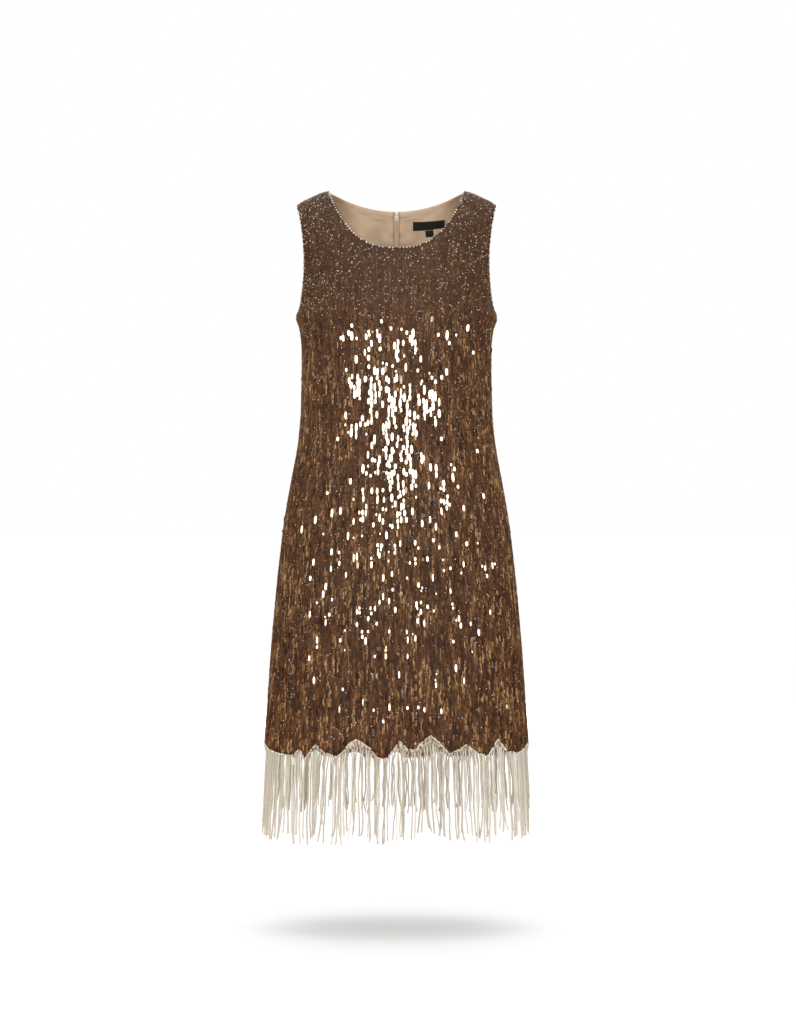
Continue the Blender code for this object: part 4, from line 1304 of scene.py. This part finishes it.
def strands_of(panel, count, full_length, seed):
    """Start, outward, along, sway, length and radial drift of each strand."""
    column = np.arange(-16 if panel == "front" else 0, 17)
    level, hem, normals, angle, edge, shape = fringe_roots(panel, column)
    row = at_drop(level, hem, edge, strip_bottom(edge, shape))
    row = row - (SEAM_GAP + STRAND_DEPTH / 2) * normals
    run = run_of(hem[:, :2])
    stops = run[-1] * (np.arange(count) + 0.5) / count
    middle = np.interp(stops, run, np.arange(len(edge)))
    start = blend_at(middle, np.arange(len(edge)), row)
    turn = np.interp(middle, np.arange(len(edge)), angle)
    outward = np.column_stack([np.sin(turn), -np.cos(turn), 0 * turn])
    low = np.clip(middle.astype(int), 0, len(edge) - 2)
    along = unit((row[low + 1] - row[low]) * np.array([1, 1, 0]))
    draw = random.Random(seed)
    length, radial = np.zeros(count), np.zeros(count)
    for k in range(count):
        length[k] = full_length + draw.uniform(-1, 1) * LENGTH_SPREAD
        radial[k] = draw.uniform(-1, 1) * RADIAL_SPREAD
        if draw.random() < SHORT_SHARE:
            length[k] -= draw.uniform(0.3, 1) * SHORT_BY
    return start, outward, along, strand_sway(turn), length, radial


# Each panel's number of strands, their length and the seed of its random draws
FRINGES = {"front": (120, 0.128, 5), "right": (60, 0.088, 11), "left": (60, 0.088, 12)}
strands = {panel: strands_of(panel, *fringe) for panel, fringe in FRINGES.items()}
print("strands:", sum(len(made[4]) for made in strands.values()))

# %% [markdown]
# A tube along each path needs two rings for every bead: a wide one in its middle and a narrow
# one where two beads meet. All strands of a panel are worked out in one array.

# %% Fringe strands
BEAD_LENGTH = 0.0026
TUBE_SIDES = 5
fringe_bead = toned_material(
    "fringe bead", (0.70, 0.62, 0.51), (0.3, 0.1),
    ((0.0, 0.66, 0.58, 0.465), (0.5, 0.82, 0.75, 0.64), (1.0, 0.95, 0.91, 0.84)),
    (1500, (1, 1, 0.6), 1.0), (0.00012, 0.4))
tree = fringe_bead.node_tree
shader = tree.nodes["Principled BSDF"]
tone = shader.inputs["Base Color"].links[0].from_socket
through = add_node(tree, "ShaderNodeBsdfTranslucent", {"Color": tone})
blend = add_node(tree, "ShaderNodeMixShader", {
    "Fac": 0.40, 1: shader.outputs["BSDF"], 2: through.outputs["BSDF"],
})
feed(tree, tree.nodes["Material Output"], {"Surface": blend.outputs["Shader"]})


def tube_rings(panel):
    """Rings of each strand: centre by the sway's power curve, radius by a bead's swell."""
    start, outward, along, sway, length, radial = strands[panel]
    count = len(length)
    each = (count, 1, 1)
    rings = 2 * int(round(length.max() / BEAD_LENGTH)) + 1
    step = np.linspace(0, 1, rings)[None, :, None]
    phase = chance.uniform(0, 2 * math.pi, each)
    waves = chance.uniform(7, 16, each)
    ripple = 0.0008 * np.sin(phase + waves * step) * np.sqrt(step)
    order = np.arange(count)
    tuft = np.cumsum(chance.random(count) < 0.30)
    middle = np.bincount(tuft, order) / np.maximum(np.bincount(tuft), 1)
    gather = np.clip(0.0016 * (middle[tuft] - order), -0.0028, 0.0028)
    wander = np.sin(order * 0.61 + 2.0) + 0.6 * np.sin(order * 2.4)
    ripple = ripple + gather[:, None, None] * np.minimum(1, 0.25 + 5 * step)
    ripple = ripple + 0.0013 * wander[:, None, None] * step**1.2
    bend = chance.standard_normal(each)
    ripple = ripple + 0.0014 * bend * np.sin(math.pi * step) + 0.0007 * bend * step**2
    ripple = ripple + 0.0020 * chance.standard_normal(each) * step**9
    drift = (0.05 * length + radial)[:, None, None] * step
    centre = start[:, None, :] + outward[:, None, :] * drift
    centre = centre + along[:, None, :] * (sway[:, None, None] * step**1.4 + ripple)
    centre = centre - np.array([0, 0, 1.0]) * length[:, None, None] * step
    swell = np.where(np.arange(rings) % 2 == 1, 1.0, 0.70)[None, :]
    radius = STRAND_WIDTH / 2 * 1.22 * swell * (1 - 0.08 * step[..., 0])
    radius = radius * chance.uniform(0.85, 1.15, (count, 1))
    radius[:, 0] *= 0.8
    turn = np.linspace(0, 2 * math.pi, TUBE_SIDES, endpoint=False)
    ring = along[:, None, None, :] * np.cos(turn)[None, None, :, None]
    ring = ring + outward[:, None, None, :] * np.sin(turn)[None, None, :, None]
    return centre[:, :, None, :] + ring * radius[:, :, None, None]


fringes = {}
for panel in strands:
    points = tube_rings(panel)
    count, rings = points.shape[:2]
    index = np.arange(count * rings * TUBE_SIDES).reshape(count, rings, TUBE_SIDES)
    after = np.roll(index, -1, axis=2)
    quads = np.stack([index[:, 1:], after[:, 1:], after[:, :-1], index[:, :-1]], axis=-1)
    mesh = make_mesh(f"fringe_{panel}", points, quads.reshape(-1, 4))
    tint = np.clip(0.45 + 0.24 * chance.standard_normal((count, 1, 1)), 0, 1)
    grain = 0.12 * chance.standard_normal((count, rings, 1))
    add_shade(mesh, np.broadcast_to(np.clip(tint + grain, 0, 1), index.shape))
    fringes[panel] = add_piece(mesh, (fringe_bead,))
    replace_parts(fringes[panel], "front_fringe" if panel == "front" else f"back_fringe_{panel}")
    print(panel, "strands:", count, "triangles:", 2 * len(mesh.polygons))

# %% [markdown]
# The net strip behind the hem carries the strands. In the photograph it fills the upside-down
# V between two lobes with a pale web.

# %% Net strip
NET_FINE = 16
speckle = (420, (1, 1, 0.35), 2.0)
net = toned_material(
    "fringe net", (0.50, 0.39, 0.28), (0.6,),
    ((0.38, 0.12, 0.075, 0.045), (0.50, 0.42, 0.31, 0.21), (0.64, 0.74, 0.63, 0.50)),
    speckle, (0.0006, 0.8), source=speckle)
for panel in ("front", "left", "right"):
    column = np.arange(-16 if panel == "front" else 0, 17)
    level, hem, normals, _, edge, shape = fringe_roots(panel, column)
    whole = np.arange(len(edge))
    fine = np.linspace(0, len(edge) - 1, NET_FINE * (len(edge) - 1) + 1)
    _, edge, shape = front_hem_at(fine) if panel == "front" else back_hem_at(fine)
    level, hem, normals = [blend_at(fine, whole, values) for values in (level, hem, normals)]
    drops = [(edge - STRIP_TOP_ABOVE_EDGE) * (1 - part) + strip_bottom(edge, shape) * part
             for part in np.linspace(0, 1, 6)]
    grids = [np.array([at_drop(level, hem, edge, drop) - depth * normals for drop in drops])
             for depth in (SEAM_GAP, SEAM_GAP + 0.8 * STRAND_DEPTH)]
    mesh = shell_mesh(f"net_strip_{panel}", *grids, flip=panel == "right")
    add_piece(mesh, (net,))
print("net strip faces:", len(mesh.polygons))

# %% [markdown]
# A closed zip shows two rows of small teeth that mesh. They sit between the two edges of the
# back, and two lines of stitches hold the tape beside them.

# %% Zip teeth and stitches
TOOTH_PITCH = 0.0016
TOOTH_HALF = (0.0009, 0.0006, 0.00045)
TOOTH_FROM_EDGE, TOOTH_SUNK = 0.00045, 0.0013
STITCH_PITCH = 0.0029
STITCH_HALF = (0.00022, 0.00018, 0.00105)
STITCH_LINE = 0.0052
wear = (700, EVEN, 2.0)
enamel = toned_material(
    "enamelled metal", (0.90, 0.78, 0.69), (0.42, 0.1),
    ((0.3, 0.84, 0.70, 0.61), (0.7, 0.97, 0.88, 0.80)), wear, (0.00005, 0.4), source=wear)
thread = woven("beige thread", (0.60, 0.44, 0.30), (0.70, 0.53, 0.37), 0.6, 900)
BOX_CORNERS = [(i, j, k) for i in (-1, 1) for j in (-1, 1) for k in (-1, 1)]
BOX_FACES = np.array([
    (0, 1, 3, 2), (4, 6, 7, 5), (0, 4, 5, 1), (2, 3, 7, 6), (0, 2, 6, 4), (1, 5, 7, 3)
])


def boxes(middles, directions, half):
    """The eight corners of a small box about each middle, by three directions and half sizes."""
    return np.stack([
        middles + sum(sign * size * way for sign, size, way in zip(corner, half, directions))
        for corner in BOX_CORNERS
    ], axis=1)


tooth_rows = np.linspace(0.25, 13.2, 1200)
zip_line, zip_normals = panel_layer("right", 0, tooth_rows, WALL * 0.75)
run = run_of(zip_line)
stops = np.arange(0.0, run[-1], TOOTH_PITCH)
middles, out = [], []
for side, shift in ((-1, 0.0), (1, TOOTH_PITCH / 2)):
    row_at = np.interp(stops + shift, run, tooth_rows)
    middle = blend_at(stops + shift, run, zip_line)
    middle[:, 0] = side * (np.maximum(zip_opening(row_at), SEAM_GAP) + TOOTH_FROM_EDGE)
    out.append(blend_at(stops + shift, run, zip_normals))
    middles.append(middle - out[-1] * TOOTH_SUNK)
middles, out = np.concatenate(middles), np.concatenate(out)
across = np.array([1.0, 0, 0])
corners = boxes(middles, (across, out, np.cross(across, out)), TOOTH_HALF)
add_copies("zip_teeth", corners, BOX_FACES, tape, smooth=False)
print("teeth:", len(middles))

seam_rows = np.linspace(0.8, 16.5, 900)
middles, up = [], []
for panel in SIDE:
    start = column_at(panel, seam_rows, STITCH_LINE)[:, 0]
    line, _ = panel_layer(panel, start, seam_rows, UNDER_CLOTH + LINING + 0.0002)
    run = run_of(line)
    stops = np.arange(0.001, run[-1], STITCH_PITCH)
    middles.append(blend_at(stops, run, line))
    up.append(unit(blend_at(stops + 0.001, run, line) - middles[-1]))
middles, up = np.concatenate(middles), np.concatenate(up)
corners = boxes(middles, (across, np.cross(up, across), up), STITCH_HALF)
add_copies("zip_stitches", corners, BOX_FACES, thread)
for name in ("zip_slider", "zip_pull"):
    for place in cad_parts[name].material_slots:
        place.material = enamel
print("stitches:", len(middles))

# %% [markdown]
# The flat sizes are the areas of the pattern pieces' outsides. The lining's leaves out the strip
# beside the zip.


# %% Flat sizes
ZIP_STRIP_AREA = 0.004


def outer_area(panel, first, last, bottom_row):
    """Area of a panel's outside: the sum of its small faces' areas."""
    columns = np.linspace(first, last, 129)
    column, row = np.meshgrid(columns, np.linspace(0, bottom_row, 120))
    points, _ = panel_layer(panel, column, row, 0.0)
    one = np.cross(points[1:, :-1] - points[:-1, :-1], points[:-1, 1:] - points[:-1, :-1])
    two = np.cross(points[1:, :-1] - points[1:, 1:], points[:-1, 1:] - points[1:, 1:])
    return float((np.linalg.norm(one, axis=-1) + np.linalg.norm(two, axis=-1)).sum() / 2)


front_area = outer_area("front", -16, 16, 19)
back_area = outer_area("right", 0, 16, 19)
lining_area = outer_area("right", 0, 16, 17) - ZIP_STRIP_AREA
print("areas:", round(front_area, 4), round(back_area, 4), round(lining_area, 4))

# %% [markdown]
# The photograph was taken in a white studio. In front stands a soft light, and before it a
# screen that only mirrors see: its image in the flat sequins makes the white flashes. The same
# pair stands behind. The two sides have a small light each, and a light above gives the floor
# its soft shadow.

# %% Studio
FLOOR = -1.142
FLOOR_CORNERS = ((-30, -4), (30, -4), (30, 60), (-30, 60))
pale, tree, shader = new_material("studio floor", (0.86, 0.86, 0.86), 0.9, specular=0.0)
clouds, _ = stretched_noise(tree, 2.0, EVEN, 1.0)
tone = colour_ramp(tree, clouds, ((0.3, 0.858, 0.858, 0.858), (0.7, 0.862, 0.862, 0.862)))
feed(tree, shader, {"Base Color": tone})
floor_mesh = make_mesh("floor", [(x, y, FLOOR) for x, y in FLOOR_CORNERS], [[0, 1, 2, 3]])
floor_mesh.materials.append(pale)
floor = bpy.data.objects.new("floor", floor_mesh)
floor.visible_glossy = False
bpy.context.scene.collection.objects.link(floor)

world = bpy.data.worlds.new("white studio")
bpy.context.scene.world = world
world.use_nodes = True
tree = world.node_tree
rays = tree.nodes.new("ShaderNodeLightPath")
mirrored_room = colour_ramp(tree, height_in(tree, "Generated", -1.0, 1.0), [
    (position, value, value, value) for position, value in (
        (0.0, 0.50), (0.40, 0.30), (0.56, 0.28), (0.68, 0.45), (0.80, 1.1), (1.0, 1.3))
])
strength = mixed(tree, 0.80, mirrored_room, rays.outputs["Is Glossy Ray"], "FLOAT", "MIX")
strength = mixed(tree, strength, 1.0, rays.outputs["Is Camera Ray"], "FLOAT", "MIX")
feed(tree, tree.nodes["Background"], {"Color": (1, 1, 1, 1), "Strength": strength})

MIDDLE = Vector((0, 0, -0.45))


def soft_light(name, place, size, power, mirrored=False, lights=True):
    """A rectangular light that faces the dress's middle. It can be mirrored, light, or both."""
    light = bpy.data.lights.new(name, "AREA")
    light.shape = "RECTANGLE"
    light.size, light.size_y = size
    light.energy = power
    obj = bpy.data.objects.new(name, light)
    bpy.context.scene.collection.objects.link(obj)
    obj.location = place
    obj.rotation_euler = (MIDDLE - Vector(place)).to_track_quat("-Z", "Y").to_euler()
    obj.visible_camera = False
    obj.visible_glossy = mirrored
    obj.visible_diffuse = obj.visible_transmission = lights


for side, turn in (("front", -1), ("back", 1)):
    soft_light(f"{side} softbox", (0.0, 4.4 * turn, -0.40), (0.40, 1.00), 60)
    soft_light(f"{side} screen", (0.0, 4.1 * turn, -0.40), (1.05, 1.80), 54, True, False)
for side, x in (("left", -3.8), ("right", 3.8)):
    soft_light(f"{side} softbox", (x, 1.2, -0.2), (0.5, 0.8), 20)
overhead = bpy.data.objects.new("overhead", bpy.data.lights.new("overhead", "SUN"))
overhead.data.energy = 1.2
overhead.data.angle = math.radians(46)
bpy.context.scene.collection.objects.link(overhead)
bpy.context.scene.view_settings.view_transform = "Standard"
print("lights:", len(bpy.data.lights))

# %% [markdown]
# The camera stands 3.6 m in front, level with the middle of the dress. Its lens is chosen so
# that a pixel of the photograph is 1.55 mm at the dress.

# %% Camera
DISTANCE = 3.6
PIXEL = 0.00155
camera_data = bpy.data.cameras.new("camera")
camera = bpy.data.objects.new("camera", camera_data)
bpy.context.scene.collection.objects.link(camera)
camera.location = (0.0023, -DISTANCE, -0.4976)
camera.rotation_euler = (math.pi / 2, 0, 0)
camera_data.sensor_width = 36
camera_data.lens = DISTANCE * 36 / (1024 * PIXEL)
camera_data.clip_end = 200
bpy.context.scene.camera = camera
print("lens:", round(camera_data.lens, 2), "mm")
